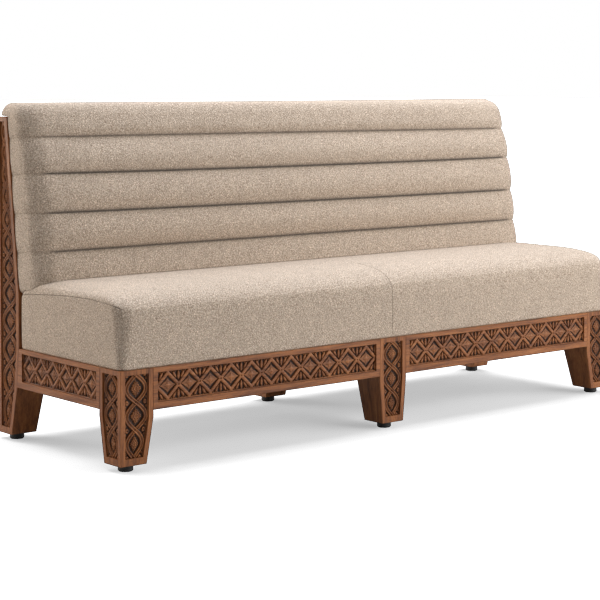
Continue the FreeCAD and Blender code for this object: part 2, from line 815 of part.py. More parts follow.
def seam_y(level):
    """Y of a channel seam's valley at a height: the padding's depth there, in front of the posts' rake."""
    height_share = min(max((level - channel_base) / (back_height - channel_base), 0), 1)
    for (low, low_depth), (high, high_depth) in zip(depth_shares, depth_shares[1:]):
        if height_share <= high:
            break
    depth_share = low_depth + (high_depth - low_depth) * (height_share - low) / (high - low)
    return post_front_at(level) - back_seam_depth * depth_share


channel_height = (back_height - top_roll_height - channel_base) / channel_count
seam_levels = [channel_base + channel_height * i for i in range(channel_count + 1)]
back_foot_level = seat_seam_level - back_foot_drop / 2
back_half = half_length - back_side_reveal
back_far_y = rear_y - back_rear_inset


def back_section(level, bulge_share, draw, inset):
    """Outline of the back unit at one height; bulge_share is 0 in a seam's valley and 1 on a channel's crest."""
    near = seam_y(level) - channel_bulge * bulge_share + draw + inset
    half_x = back_half - channel_side_bulge * (1 - bulge_share) - draw - inset
    far = back_far_y - draw - inset
    return padded_outline(half_x, near, far, back_corner_radius - inset, 0, level)


def back_form(inset, side_levels=bulge_shares):
    """The back unit's full form, drawn in by inset, before the frame's space is taken out of it."""
    channels = []
    foot = []
    foot_height = seam_levels[1] - back_foot_level - inset
    for height_share, bulge_share in side_levels[1:]:
        foot.append((back_foot_level + inset + foot_height * height_share, bulge_share, 0))
    start = (back_foot_level + inset, bulge_shares[1][1], back_foot_roll)
    channels.append([start] + foot)
    for low in seam_levels[1:-1]:
        channels.append([(low + channel_height * height_share, bulge_share, 0)
                         for height_share, bulge_share in side_levels])
    top_low = seam_levels[-1]
    top_height = back_height - inset - top_low
    roll = []
    for height_share, draw_share in roll_shares:
        bulge_share = 1 if draw_share >= 0 else 1 + draw_share / (-roll_shares[0][1])
        draw = top_roll_draw_in * max(0, draw_share)
        roll.append((top_low + top_height * height_share, bulge_share, draw))
    channels.append(roll)
    return padded_solid([
        [back_section(level, bulge, draw, inset) for level, bulge, draw in levels] for levels in channels])


def frame_space(forward, upward):
    """The room that the posts and the back frame take behind the padding, grown forwards and upwards."""
    high = post_top + soft_clearance + upward
    points = [
        (post_front_y - forward, frame_top),
        (post_front_y - forward, rake_start),
        (post_front_at(high) - forward, high),
        (rear_y + forward, high),
        (rear_y + forward, frame_top),
    ]
    return prism_across(points, -bench_length, bench_length)


board_room_depth = back_board_thickness + soft_clearance
seat_room = seat_form(0, soft_clearance)
back_outer = back_form(0).cut(frame_space(soft_clearance, 0)).cut(seat_room)
back_cavity = back_form(cover_thickness).cut(frame_space(-cover_thickness, cover_thickness))
seat_room_grown = seat_form(0, soft_clearance + cover_thickness)
back_cavity = back_cavity.cut(seat_room_grown)
shapes["back_cover"] = back_outer.cut(back_cavity)
foam_inset = cover_thickness + soft_clearance
back_foam = back_form(foam_inset, foam_bulge_shares)
back_foam = back_foam.cut(frame_space(soft_clearance + board_room_depth, foam_inset))
shapes["back_foam"] = back_foam.cut(seat_form(0, soft_clearance + foam_inset))

board_half = back_half - channel_side_bulge - cover_thickness - back_board_margin
board_low = seat_seam_level + back_board_lift
board_high = post_top - back_board_margin


def back_board_outline(low, high):
    """Section of the plywood board, lying on the posts' rake behind the foam."""
    front_offset = soft_clearance + back_board_thickness
    return [
        (post_front_at(low) - front_offset, low),
        (post_front_at(high) - front_offset, high),
        (post_front_at(high) - soft_clearance, high),
        (post_front_at(low) - soft_clearance, low),
    ]


shapes["back_board"] = prism_across(back_board_outline(board_low, board_high), -board_half, board_half)


# Back frame: two rails tenoned into the posts and three ribs notched over them

for rail_name, rail_level in back_rail_levels.items():
    rail_body = prism_across(back_rail_outline(rail_level), -post_inner_x, post_inner_x)
    tenon_outline = back_rail_outline(rail_level, back_tenon_inset)
    reach = post_inner_x + tenon_length
    shapes["back_" + rail_name + "_rail"] = joined([rail_body, prism_across(tenon_outline, -reach, reach)])

rib_rear_y = rear_y - rib_rear_inset
rib_outline = [
    (post_front_y, seat_board_top),
    (post_front_y, rake_start),
    (post_front_at(post_top), post_top),
    (rib_rear_y, post_top),
    (rib_rear_y, seat_board_top),
]
rib_places = {
    "left": -bench_length * rib_share,
    "centre": 0,
    "right": bench_length * rib_share,
}
for rib_name, rib_x in rib_places.items():
    rib = prism_across(rib_outline, rib_x - rib_thickness / 2, rib_x + rib_thickness / 2)
    for rail_name in back_rail_levels:
        rib = rib.cut(shapes["back_" + rail_name + "_rail"])
    shapes["back_rib_" + rib_name] = rib


# Outside back cover, stretched over the rear of the ribs and down over the rear rails

outside_half = post_inner_x - outside_cover_gap
outside_cover = block(
    -outside_half, outside_half, rib_rear_y, rib_rear_y + outside_cover_thickness,
    frame_top - outside_cover_lap, post_top - outside_cover_gap)
outside_notch = rear_leg_half + outside_cover_gap
shapes["outside_back_cover"] = outside_cover.cut(block(
    -outside_notch, outside_notch, rear_leg_front_y, rear_y, rail_bottom, frame_top + outside_cover_gap))

# Dust cover, stapled to the underside of the rails between the legs
dust_cover = block(
    -half_length + dust_cover_inset, half_length - dust_cover_inset, front_y + dust_cover_inset,
    rear_rail_y - dust_cover_inset, rail_bottom - dust_cover_thickness, rail_bottom)
dust_room = outside_cover_gap
for low_x, high_x, low_y, high_y in (
        (-half_length, corner_leg_right, front_y, side_front_y),
        (centre_leg_left, centre_leg_right, front_y, side_front_y),
        (-corner_leg_right, half_length, front_y, side_front_y),
        (-half_length, -post_inner_x, post_front_at(rail_bottom), rear_y),
        (-rear_leg_half, rear_leg_half, rear_leg_front_y, rear_y),
        (post_inner_x, half_length, post_front_at(rail_bottom), rear_y)):
    dust_cover = dust_cover.cut(block(
        low_x - dust_room, high_x + dust_room, low_y - dust_room, high_y + dust_room,
        rail_bottom - rail_height, frame_top))
shapes["dust_cover"] = dust_cover


# Screws: two up through each cleat into the seat board, and two through each half of a back rail into the
# back board

for side, side_name in ((-1, "left"), (1, "right")):
    for x_size in (seat_screw_inset, post_inner_x - block_leg - seat_screw_inset):
        for row_name, row_y in (("front", front_block_y + cleat_thickness / 2),
                                ("rear", rear_block_y - cleat_thickness / 2)):
            tip = Vector(side * x_size, row_y, cleat_top - cleat_height + screw_length)
            fasten(["seat_cleat_" + row_name + "_" + side_name, "seat_board"], tip, Vector(0, 0, -1))

for rail_name, rail_level in back_rail_levels.items():
    level = rail_level + back_rail_height / 2
    for x_size in (rib_places["right"] - back_screw_inset, rib_places["right"] + back_screw_inset):
        for side in (-1, 1):
            tip = Vector(side * x_size, post_front_at(level) + back_rail_thickness - screw_length, level)
            fasten(["back_" + rail_name + "_rail", "back_board"], tip, Vector(0, 1, 0))

shapes["wood_screws"] = group(screws)


# Write one file for each piece

def check(name, shape):
    """Print a piece's solids and volume, and stop if it isn't a closed solid."""
    solids = shape.Solids
    if not solids or not shape.isValid():
        raise RuntimeError(name + " is not a valid solid")
    box = shape.BoundBox
    print(name, len(solids), round(shape.Volume / 1000, 1), "cm3",
          [round(v, 1) for v in (box.XMin, box.XMax, box.YMin, box.YMax, box.ZMin, box.ZMax)])


for name, shape in shapes.items():
    check(name, shape)
    if len(shape.Solids) == 1:
        shape = shape.Solids[0]
    shape.exportStep(os.path.join("parts", name + ".step"))
print(len(shapes), "pieces")
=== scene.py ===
# %% [markdown]
# A carved banquette bench, lesson by lesson.
# The CAD model gives the bench's solid parts, each in its place: legs, posts, rails, boards and levelling feet.
# This notebook dresses them. It adds the carving, the two upholstered cushions and the cloth at the back and
# underneath, gives every part a finish, and sets up a small photo studio around the bench.

# %% Load the frame
import math

import bmesh
import bpy
import numpy as np
from mathutils import Matrix, Vector
from mathutils.bvhtree import BVHTree


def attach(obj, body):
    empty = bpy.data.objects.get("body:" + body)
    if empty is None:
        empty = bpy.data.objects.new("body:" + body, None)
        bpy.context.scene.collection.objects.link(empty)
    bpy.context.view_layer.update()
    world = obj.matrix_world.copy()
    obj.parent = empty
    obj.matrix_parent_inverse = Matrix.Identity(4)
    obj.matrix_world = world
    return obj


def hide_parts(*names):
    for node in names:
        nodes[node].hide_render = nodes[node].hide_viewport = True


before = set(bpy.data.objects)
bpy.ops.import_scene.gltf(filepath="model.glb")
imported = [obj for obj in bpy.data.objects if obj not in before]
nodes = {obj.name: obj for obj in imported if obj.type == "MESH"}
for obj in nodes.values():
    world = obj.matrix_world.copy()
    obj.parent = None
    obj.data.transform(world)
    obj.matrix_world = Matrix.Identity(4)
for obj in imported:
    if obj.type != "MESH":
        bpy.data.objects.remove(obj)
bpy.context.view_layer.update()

# %% [markdown]
# The camera stands in front of the bench's left end, a little above the back, and looks slightly down.
# Its place was worked out from the photograph's upright and level edges. The lens is long, so the far end of the
# bench stays large, and a small vertical shift keeps the posts upright without tilting the camera further.

# %% The camera
camera_place = Vector((-3.67188, -4.27780, 1.07907))
camera_yaw = 0.69568
camera_pitch = 0.05223
camera_roll = 0.00136
lens_length = 106.59
lens_shift = -0.22

level_forward = Vector((math.sin(camera_yaw), math.cos(camera_yaw), 0))
level_right = Vector((math.cos(camera_yaw), -math.sin(camera_yaw), 0))
forward = level_forward * math.cos(camera_pitch) - Vector((0, 0, math.sin(camera_pitch)))
level_up = level_right.cross(forward)
right = level_right * math.cos(camera_roll) + level_up * math.sin(camera_roll)
up = level_up * math.cos(camera_roll) - level_right * math.sin(camera_roll)

camera_data = bpy.data.cameras.new("camera")
camera_data.lens = lens_length
camera_data.sensor_width = 36
camera_data.shift_y = lens_shift
camera = bpy.data.objects.new("camera", camera_data)
turn = Matrix((right, up, -forward)).transposed()
camera.matrix_world = Matrix.Translation(camera_place) @ turn.to_4x4()
bpy.context.scene.collection.objects.link(camera)
bpy.context.scene.camera = camera
print("camera", round(camera_place.length, 2), "m from the bench's middle")

# %% [markdown]
# The photograph is bright and plain: a white sweep without a visible horizon, and a soft grey shadow under the
# bench. A view transform with no film curve keeps that white clean. The room's light for the bench is dimmer than
# the white that the camera sees, so that the shade in the fabric's folds keeps its depth.

# %% The studio
bpy.context.scene.view_settings.view_transform = "Standard"
room_light = (0.96, 0.98, 1.0)
room_strength = 0.06


def fill(tree, node, *sockets, **inputs):
    """Set a node's inputs by number or by name, each to a value or to another node's output. In a name _ stands for
    a space."""
    named = {key.replace("_", " "): value for key, value in inputs.items()}
    for key, value in [*enumerate(sockets), *named.items()]:
        if isinstance(value, bpy.types.NodeSocket):
            tree.links.new(value, node.inputs[key])
        else:
            node.inputs[key].default_value = value
    return node


def put(tree, kind, settings=None, *sockets, **inputs):
    """Add a shader node with its settings and inputs."""
    node = tree.nodes.new("ShaderNode" + kind)
    for key, value in (settings or {}).items():
        setattr(node, key, value)
    return fill(tree, node, *sockets, **inputs)


world = bpy.data.worlds.new("studio")
bpy.context.scene.world = world
world.use_nodes = True
tree = world.node_tree
tree.nodes.clear()
seen = put(tree, "Background", Color=(1, 1, 1, 1), Strength=1.0)
felt = put(tree, "Background", Color=(*room_light, 1), Strength=room_strength)
path = put(tree, "LightPath")
choice = put(tree, "MixShader", None, path.outputs["Is Camera Ray"], felt.outputs["Background"],
             seen.outputs["Background"])
put(tree, "OutputWorld", Surface=choice.outputs["Shader"])


def softbox(name, place, target, width, height, power, colour=(1, 1, 1)):
    """A rectangular light at place that faces target."""
    data = bpy.data.lights.new(name, "AREA")
    data.shape = "RECTANGLE"
    data.size, data.size_y = width, height
    data.energy = power
    data.color = colour
    lamp = bpy.data.objects.new(name, data)
    direction = Vector(target) - Vector(place)
    lamp.rotation_euler = direction.to_track_quat("-Z", "Y").to_euler()
    lamp.location = place
    bpy.context.scene.collection.objects.link(lamp)


softbox("overhead", (0.2, 0.75, 3.6), (0, 0.1, 0.3), 5.5, 2.7, 282, (0.88, 0.92, 1.0))
softbox("right_end", (4.2, -3.2, 1.9), (0, 0, 0.5), 2.6, 2.6, 126)
softbox("front_right", (1.8, -4.2, 2.0), (0, 0, 0.5), 2.2, 2.2, 112, (1.0, 0.99, 0.97))
softbox("rear_left", (-3.0, 4.6, 1.9), (-0.6, 0, 0.5), 2.6, 2.6, 150, (1.0, 0.91, 0.8))
softbox("left_end", (-5.0, 1.2, 1.8), (-0.6, 0, 0.5), 2.0, 2.0, 38, (1.0, 0.91, 0.8))

# %% [markdown]
# Every shape that is added here is a surface worked out on a grid. Two small helpers turn such a grid into a piece:
# one joins the grid's points with four-sided faces, and the other makes a named mesh of them. The rest turn a piece's
# faces outwards, read and move its points, and draw the soft steps that all the patterns are made of.

# %% Grid helpers
MM = 0.001


def grid_faces(rows, columns, wrap=False):
    """Four corner numbers for each cell of a grid; wrap joins the last column to the first."""
    numbers = np.arange(rows * columns).reshape(rows, columns)
    if wrap:
        numbers = np.concatenate([numbers, numbers[:, :1]], axis=1)
    cells = np.stack([numbers[:-1, :-1], numbers[:-1, 1:], numbers[1:, 1:], numbers[1:, :-1]], axis=-1)
    return cells.reshape(-1, 4)


def new_piece(name, points, quads, smooth=True):
    """A mesh object from an array of points in millimetres and an array of four corner numbers for each face."""
    mesh = bpy.data.meshes.new(name)
    mesh.vertices.add(len(points))
    mesh.vertices.foreach_set("co", (np.asarray(points, float) * MM).ravel())
    mesh.loops.add(quads.size)
    mesh.loops.foreach_set("vertex_index", quads.ravel())
    mesh.polygons.add(len(quads))
    mesh.polygons.foreach_set("loop_start", np.arange(0, quads.size, 4))
    mesh.polygons.foreach_set("use_smooth", np.full(len(quads), smooth))
    mesh.update(calc_edges=True)
    piece = bpy.data.objects.new(name, mesh)
    bpy.context.scene.collection.objects.link(piece)
    return piece


def face_outwards(piece, merge=0.0):
    """Turn a piece's faces outwards. Where merge is given, points closer than that many metres become one first, and
    faces that this flattens go."""
    edit = bmesh.new()
    edit.from_mesh(piece.data)
    if merge:
        bmesh.ops.remove_doubles(edit, verts=edit.verts, dist=merge)
        bmesh.ops.dissolve_degenerate(edit, edges=edit.edges, dist=merge)
    bmesh.ops.recalc_face_normals(edit, faces=edit.faces)
    edit.to_mesh(piece.data)
    edit.free()


def points_of(piece):
    """A piece's points as an array, in millimetres."""
    flat = np.empty(len(piece.data.vertices) * 3, np.float32)
    piece.data.vertices.foreach_get("co", flat)
    return flat.reshape(-1, 3).astype(float) / MM


def place_points(piece, points):
    """Move a piece's points to an array of places in millimetres."""
    piece.data.vertices.foreach_set("co", (points * MM).astype(np.float32).ravel())
    piece.data.update()


def triangles(piece):
    """How many triangles a piece's own mesh has."""
    return sum(len(face.vertices) - 2 for face in piece.data.polygons)


def smoothstep(value):
    """0 below 0, 1 above 1, and a soft S curve between."""
    value = np.clip(value, 0, 1)
    return value * value * (3 - 2 * value)


def band(distance, half_width, softness):
    """1 within half_width of a line and 0 outside it, with a soft edge of the given width."""
    return smoothstep((half_width - np.abs(distance)) / softness + 0.5)


def within(distance, reach, softness):
    """1 up to a reach and 0 beyond it, with a soft edge inside."""
    return smoothstep((reach - distance) / softness)


def set_numbers(piece, name, values):
    """Keep one number for each of a piece's points, which a finish can read by name."""
    attribute = piece.data.attributes.new(name, "FLOAT", "POINT")
    attribute.data.foreach_set("value", values.astype(np.float32))


print("grid helpers ready")

# %% [markdown]
# The bench's main measures, in millimetres, as the maker's drawing has them. The cushions and the carving are
# drawn from these, so that they lie where the solid parts leave room for them.

# %% Measures
HALF_LENGTH = 1000.0
FRONT_Y = -325.0
REAR_Y = 325.0
FOOT_LEVEL = 20.0
TAPER_TOP = 147.0
POST_TOP = 955.0
POST_LEVELS = (20.0, 165.0, 280.0, 440.0, 955.0)
POST_DEPTHS = (80.0, 112.0, 124.0, 124.0, 62.0)
SEAT_HALF = 1000.5
SEAT_NEAR = -324.5
SEAT_FAR = 199.5
SEAT_LOW = 280.2
SEAT_SEAM = 445.0
SEAT_TOP = 495.0
BACK_HALF = 998.0
BACK_TOP = 993.0
BACK_FOOT = 437.5
BACK_FAR = 315.0
SEAM_LEVELS = (460.0, 569.0, 678.0, 787.0, 896.0)


def post_front(level):
    """Y of the rear posts' front edge at a height: straight runs, with the bends eased over 50 mm."""
    level = np.asarray(level, float)
    shifts = np.linspace(-25, 25, 11)
    depth = np.mean([np.interp(level + shift, POST_LEVELS, POST_DEPTHS) for shift in shifts], axis=0)
    return REAR_Y - depth


def leg_taper(level, straight, foot):
    """Width of a front leg at a height: straight above the taper's start, and drawn in towards the foot."""
    return np.interp(level, (FOOT_LEVEL, TAPER_TOP), (foot, straight))


print("the posts lean back by", round(float(post_front(POST_TOP) - post_front(440)), 1), "mm")

# %% [markdown]
# The carving is a traditional openwork pattern, cut a few millimetres deep into boards that sit in recesses. The
# rails carry a row of diamonds whose arms cross at small pierced nodes, with a four-pointed star in each diamond
# and a fan of petals above and below each node. A height field suits it: one height for each millimetre of the
# board, from soft bands whose edges slope as a gouge leaves them.

# %% The rails' pattern
def diamond_height(along, across, pitch, half):
    """Carved height from 0 to 1. Diamonds of the given pitch lie tip to tip on the middle line; half is half the
    board's width. A point's distance to an arm comes from |along| / half pitch + |across| / reach = 1."""
    arm, soft, star_reach, node_reach = 5.2, 1.2, 17.5, 7.2
    reach = half * 0.86
    half_pitch = pitch / 2
    from_centre = (np.mod(along / pitch, 1) - 0.5) * pitch
    to_node = half_pitch - np.abs(from_centre)
    v = np.abs(across)
    scale = half_pitch * reach / math.hypot(half_pitch, reach)
    to_arm = (np.abs(from_centre) / half_pitch + v / reach - 1) * scale
    run = np.clip(v / reach, 0, 1)

    dome = 1 - 0.22 * np.clip(np.abs(to_arm) / arm, 0, 1) ** 2
    height = dome * band(to_arm, arm, soft)

    slot = 4.6 * np.sin(math.pi * np.clip((run - 0.06) / 0.88, 0, 1)) ** 0.6
    teeth = 5.6 + slot + 1.3 * np.abs(np.sin(math.pi * 4 * run))
    ledge = (0.56 - 0.1 * np.clip(-to_arm / 22, 0, 1)) * smoothstep((-teeth - to_arm) / 1.0)
    height = np.maximum(height, ledge)

    star = (np.abs(from_centre) / star_reach) ** 0.62 + (v / star_reach) ** 0.62
    height = np.maximum(height, (0.62 + 0.38 * np.clip(1 - star, 0, 1)) * smoothstep((1 - star) * 5 + 0.2))

    radius = np.hypot(to_node, v)
    angle = np.arctan2(to_node, v)
    field = smoothstep((to_arm - 6.3) / soft)
    for lean, start, end, width in ((0.0, 13.0, 37.5, 4.4), (0.47, 19.0, 42.0, 4.2)):
        share = np.clip((radius - start) / (end - start), 0, 1)
        petal = width * np.sin(math.pi * share) ** 0.6
        off = (angle - lean) * radius
        rib = 0.92 - 0.2 * np.clip(np.abs(off) / np.maximum(petal, 0.5), 0, 1) ** 2
        height = np.maximum(height, rib * band(off, petal, 1.0) * field * (share > 0) * (share < 1))

    margin = smoothstep((v - (half - 3.4)) / soft)
    bead = np.hypot(np.mod(along + pitch / 12, pitch / 6) - pitch / 12, v - (half - 5.0))
    height = np.maximum(height, 0.9 * margin)
    height = np.maximum(height, 0.75 * within(bead, 2.3, 1.1) * field)
    height = np.maximum(height, within(radius, node_reach, 1.3))
    return height * (1 - within(to_node + v, 3.0, 1.3))


print("diamond pattern ready")

# %% [markdown]
# The legs and posts carry two ribbons that swing from side to side and pass over and under each other, which
# leaves a chain of ovals. Each ribbon has a raised strip along both edges and a hollow between them. A toothed leaf
# fills each oval, and small leaves and drilled holes fill the corners beside each crossing.

# %% The legs' pattern
def ribbon_height(along, across, pitch, half):
    """Carved height from 0 to 1. The ribbons follow across = +-swing cos(pi along / pitch), so that ovals of one
    pitch each lie between crossings; half is half the board's width, which may change along it."""
    ribbon = np.clip(half * 0.22, 2.7, 6.0)
    softness = np.minimum(1.3, ribbon * 0.3)
    swing = half - ribbon - 1.2
    phase = math.pi * along / pitch
    middle = swing * np.cos(phase)
    lean = 1 / np.sqrt(1 + (swing * math.pi / pitch * np.sin(phase)) ** 2)
    first = (across - middle) * lean
    second = (across + middle) * lean

    def section(distance):
        """A ribbon's profile: raised strips at the edges and a soft hollow between."""
        share = np.abs(distance) / ribbon
        hollow = 0.5 * smoothstep((0.62 - share) / 0.5) * smoothstep((ribbon - 2.6) / 2.4)
        return band(distance, ribbon, softness) * (1 - hollow)

    crossing = np.floor(along / pitch)
    over = np.where(np.mod(crossing, 2) == 0, first, second)
    under = np.where(np.mod(crossing, 2) == 0, second, first)
    beside = smoothstep((np.abs(over) - ribbon - 0.2) / 1.2)
    height = np.maximum(section(over), section(under) * beside)

    centre = (np.mod(along / pitch + 0.5, 1) - 0.5) * pitch
    inner = swing - ribbon
    leaf = np.abs(across) / np.maximum(inner * 0.78, 0.5) + np.abs(centre) / (pitch * 0.33)
    tooth = pitch * 0.085
    leaf = leaf + 0.09 * np.cos(centre * 2 * math.pi / tooth)
    veins = np.abs(np.mod((np.abs(centre) + np.abs(across) * 0.8) / tooth, 1) - 0.5)
    blade = 0.86 - 0.32 * smoothstep((0.2 - veins) / 0.2) - 0.3 * band(across, 0.7, 1.2)
    blade -= 0.4 * band(leaf - 0.56, 0.045, 0.12)
    height = np.maximum(height, blade * smoothstep((1 - leaf) * 4))

    to_node = pitch / 2 - np.abs(centre)
    side = half - np.abs(across)
    outside = smoothstep((np.minimum(np.abs(first), np.abs(second)) - ribbon - 1.1) / 1.1)
    beyond = outside * (np.abs(across) > np.abs(middle))
    for off, reach, long, wide in ((0.0, 9.0, 8.5, 6.0), (12.5, 4.6, 4.2, 3.0)):
        shape = np.hypot((to_node - off) / long, (side - reach) / wide)
        drilled = np.hypot(to_node - off, side - reach)
        bump = 0.85 * smoothstep((1 - shape) * 3) * (1 - within(drilled, 1.9, 1.0))
        height = np.maximum(height, bump * beyond)

    height = np.maximum(height, 0.85 * within(side, 1.9, 1.0))
    return height * (1 - within(np.hypot(to_node, across), 2.3, 1.1))


print("ribbon pattern ready")

# %% [markdown]
# A carved board is its height field, four edges and a flat back. Beside the heights it keeps one number for each
# point, which says how deep and how enclosed the point is. The finish darkens the wood by it: partly the stain that
# real carving holds in its recesses, and partly painted shade in the deep and enclosed places.

# %% Carved boards
CARVED_FACE = 4.2
CARVED_GROUND = 10.6
BOARD_REAR = 11.9


def blurred(field, reach):
    """The mean of a field over a square of 2 reach + 1 points, from running sums along both directions."""
    for axis in (0, 1):
        wide = np.concatenate([np.repeat(field.take([0], axis), reach + 1, axis), field,
                               np.repeat(field.take([-1], axis), reach, axis)], axis)
        total = np.cumsum(wide, axis)
        size = field.shape[axis]
        far = np.arange(2 * reach + 1, 2 * reach + 1 + size)
        near = np.arange(size)
        field = (total.take(far, axis) - total.take(near, axis)) / (2 * reach + 1)
    return field


def carved_board(name, place, height, replaced):
    """A closed board from a height array; place(depth) gives the grid's points at depths behind the face."""
    depth = CARVED_GROUND + (CARVED_FACE - CARVED_GROUND) * height
    rows, columns = height.shape
    face = place(depth)
    rim = place(np.full_like(height, BOARD_REAR))
    ring = np.concatenate([
        np.stack([np.zeros(columns - 1, int), np.arange(columns - 1)], 1),
        np.stack([np.arange(rows - 1), np.full(rows - 1, columns - 1)], 1),
        np.stack([np.full(columns - 1, rows - 1), np.arange(columns - 1, 0, -1)], 1),
        np.stack([np.arange(rows - 1, 0, -1), np.zeros(rows - 1, int)], 1)])
    numbers = ring[:, 0] * columns + ring[:, 1]
    low = rows * columns + np.arange(len(ring))
    sides = np.stack([numbers, low, np.roll(low, -1), np.roll(numbers, -1)], 1)
    half = len(ring) // 2
    steps = np.arange(half)
    across = np.stack([low[steps], low[-1 - steps], low[-2 - steps], low[steps + 1]], 1)[:half - 1]
    quads = np.concatenate([grid_faces(rows, columns), sides, across])
    points = np.concatenate([face.reshape(-1, 3), rim[ring[:, 0], ring[:, 1]]])
    piece = new_piece(name, points, quads)
    # Partly stain, partly painted shade: these numbers darken the wood's colour where the carving is deep or
    # enclosed, and the board's edges and back get 0.8.
    enclosed = np.clip(blurred(height, 3) - height, 0, 1)
    groove_stain_and_shade = np.clip(0.6 * (1 - height) + 1.1 * enclosed, 0, 1)
    values = np.concatenate([groove_stain_and_shade.ravel(), np.full(len(ring), 0.8)])
    set_numbers(piece, "groove_stain_and_shade", values)
    face_outwards(piece)
    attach(piece, "root")
    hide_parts(replaced)
    print(name, triangles(piece), "triangles")
    return piece


carved_boards = {}

# %% [markdown]
# The front rails have eleven diamonds each and the side rails six. Their boards are plain rectangles, so the grid's
# points are the millimetres themselves.

# %% Carve the rails
STEP = 1.0
BOARD_LOW, BOARD_HIGH = 184.3, 266.7
FRONT_BOARD_ENDS = (69.3, 876.7)
SIDE_BOARD_ENDS = (-205.7, 185.7)


def even_steps(low, high, step=STEP):
    """Evenly spaced numbers from low to high, at most one step apart."""
    return np.linspace(low, high, int(math.ceil((high - low) / step)) + 1)


def on_front_face(run, level, depth):
    """Points behind the bench's front face."""
    return np.stack([run, FRONT_Y + depth, level], -1)


def on_end_face(side):
    """Points behind an end's face."""
    return lambda run, level, depth: np.stack([side * (HALF_LENGTH - depth), run, level], -1)


def rail_board(name, ends, count, face):
    """A rail's board from end to end with count diamonds; face turns (run, level, depth) into points."""
    start, end = ends
    z, run = np.meshgrid(even_steps(BOARD_LOW, BOARD_HIGH), even_steps(start, end), indexing="ij")
    middle, half = (BOARD_LOW + BOARD_HIGH) / 2, (BOARD_HIGH - BOARD_LOW) / 2
    height = diamond_height(run - start, z - middle, (end - start) / count, half)
    return carved_board("carved_" + name, lambda depth: face(run, z, depth), height, name)


for side, end in ((-1, "left"), (1, "right")):
    name = "front_panel_" + end
    carved_boards[name] = rail_board(name, sorted(side * x for x in FRONT_BOARD_ENDS), 11, on_front_face)
    name = "side_panel_" + end
    carved_boards[name] = rail_board(name, SIDE_BOARD_ENDS, 6, on_end_face(side))

# %% [markdown]
# The legs' and posts' boards taper, so each row of the grid is stretched between the board's two edges at that
# height. The pattern's width follows the edges and its ribbons keep their own width, as a carver would keep them.

# %% Carve the legs and posts
LEG_LOW, LEG_HIGH = 39.3, 266.7
POST_HIGH = 941.7
EDGE, REAR_EDGE = 15.3, 22.3


def tall_board(name, low, high, edges, count, face, columns, quicken=0.0):
    """A board between two edges that change with height; face turns (run, level, depth) into points. With quicken
    the ovals get shorter upwards, as share + quicken times share squared grows faster."""
    level = even_steps(low, high)
    near, far = edges(level)
    share = np.linspace(0, 1, columns)
    run = near[:, None] + (far - near)[:, None] * share
    z = np.repeat(level[:, None], columns, 1)
    half = (far - near)[:, None] / 2 + np.zeros_like(run)
    across = run - ((near + far) / 2)[:, None]
    pitch = (high - low) / count
    rise = (z - low) / (high - low)
    along = (high - low) * rise * (1 + quicken * rise) / (1 + quicken)
    height = ribbon_height(along - pitch / 2, across, pitch, half)
    return carved_board("carved_" + name, lambda depth: face(run, z, depth), height, name)


def corner_front_edges(side):
    """X of the corner leg's front board at its two edges."""
    def edges(level):
        outer = -HALF_LENGTH + EDGE
        inner = -HALF_LENGTH + leg_taper(level, 108, 85) - EDGE
        pair = (np.full_like(level, outer), inner)
        return pair if side < 0 else (-pair[1], -pair[0])
    return edges


def centre_edges(level):
    """X of the centre leg's board at its two edges."""
    half = leg_taper(level, 54, 42.5) - EDGE
    return -half, half


def leg_side_edges(level):
    """Y of the corner leg's side board at its two edges."""
    return np.full_like(level, FRONT_Y + EDGE), FRONT_Y + leg_taper(level, 104, 81) - EDGE


def post_edges(level):
    """Y of the post's board at its two edges."""
    return post_front(level) + EDGE, np.full_like(level, REAR_Y - REAR_EDGE)


for side, end in ((-1, "left"), (1, "right")):
    name = "leg_front_panel_" + end
    carved_boards[name] = tall_board(name, LEG_LOW, LEG_HIGH, corner_front_edges(side), 3, on_front_face, 78)
    name = "leg_side_panel_" + end
    carved_boards[name] = tall_board(name, LEG_LOW, LEG_HIGH, leg_side_edges, 3, on_end_face(side), 74)
    name = "post_panel_" + end
    carved_boards[name] = tall_board(name, LEG_LOW, POST_HIGH, post_edges, 12, on_end_face(side), 82, 0.35)
name = "leg_front_panel_centre"
carved_boards[name] = tall_board(name, LEG_LOW, LEG_HIGH, centre_edges, 3, on_front_face, 78)

# %% [markdown]
# Now the cushions. Each is drawn as rings of points stacked from its foot to its top: every ring is a rounded
# rectangle, and its size follows the profile of a stuffed side. The same number of points goes round every ring,
# so the rings join into one even net, which is what a cloth simulation likes. The net is closer beside the upright
# seams, so that a seam stays as narrow as a real one.

# %% Rings for the cushions
CORNER_TURN = np.radians([0, 9, 18, 27, 35, 41, 44, 46, 49, 55, 63, 72, 81, 90])
SEAM_COLUMNS = np.array([0.0, 1.3, 3.6, 8.0, 15.0])


def rounded_ring(half_x, near, far, near_radius, far_radius, counts):
    """Points round a rounded rectangle, starting at the middle of the near side and going towards +X. counts gives
    the steps along half a near side and along an end. A corner's points are its centre plus the radius times the
    cosine and sine of an angle."""
    along, end = counts
    near_radius = max(near_radius, 0.5)
    far_radius = max(far_radius, 0.5)
    turn = CORNER_TURN
    straight = half_x - near_radius
    near_x = np.concatenate([SEAM_COLUMNS, np.linspace(25, straight, along + 1)])
    far_x = np.concatenate([SEAM_COLUMNS, np.linspace(25, half_x - far_radius, along + 1)])[::-1]
    parts = [
        np.stack([near_x[:-1], np.full(len(near_x) - 1, near)], 1),
        np.stack([straight + near_radius * np.sin(turn), near + near_radius * (1 - np.cos(turn))], 1)[:-1],
        np.stack([np.full(end, half_x), np.linspace(near + near_radius, far - far_radius, end + 1)[:-1]], 1),
        np.stack([half_x - far_radius * (1 - np.cos(turn)), far - far_radius * (1 - np.sin(turn))], 1)[:-1],
        np.stack([far_x, np.full(len(far_x), far)], 1),
    ]
    half = np.concatenate(parts)
    other = half[1:-1][::-1] * (-1, 1)
    return np.concatenate([half, other])


def straight_value(place, table):
    """The value at a place in a table of places and values, with straight runs between them."""
    return np.interp(place, *np.array(table, float).T)


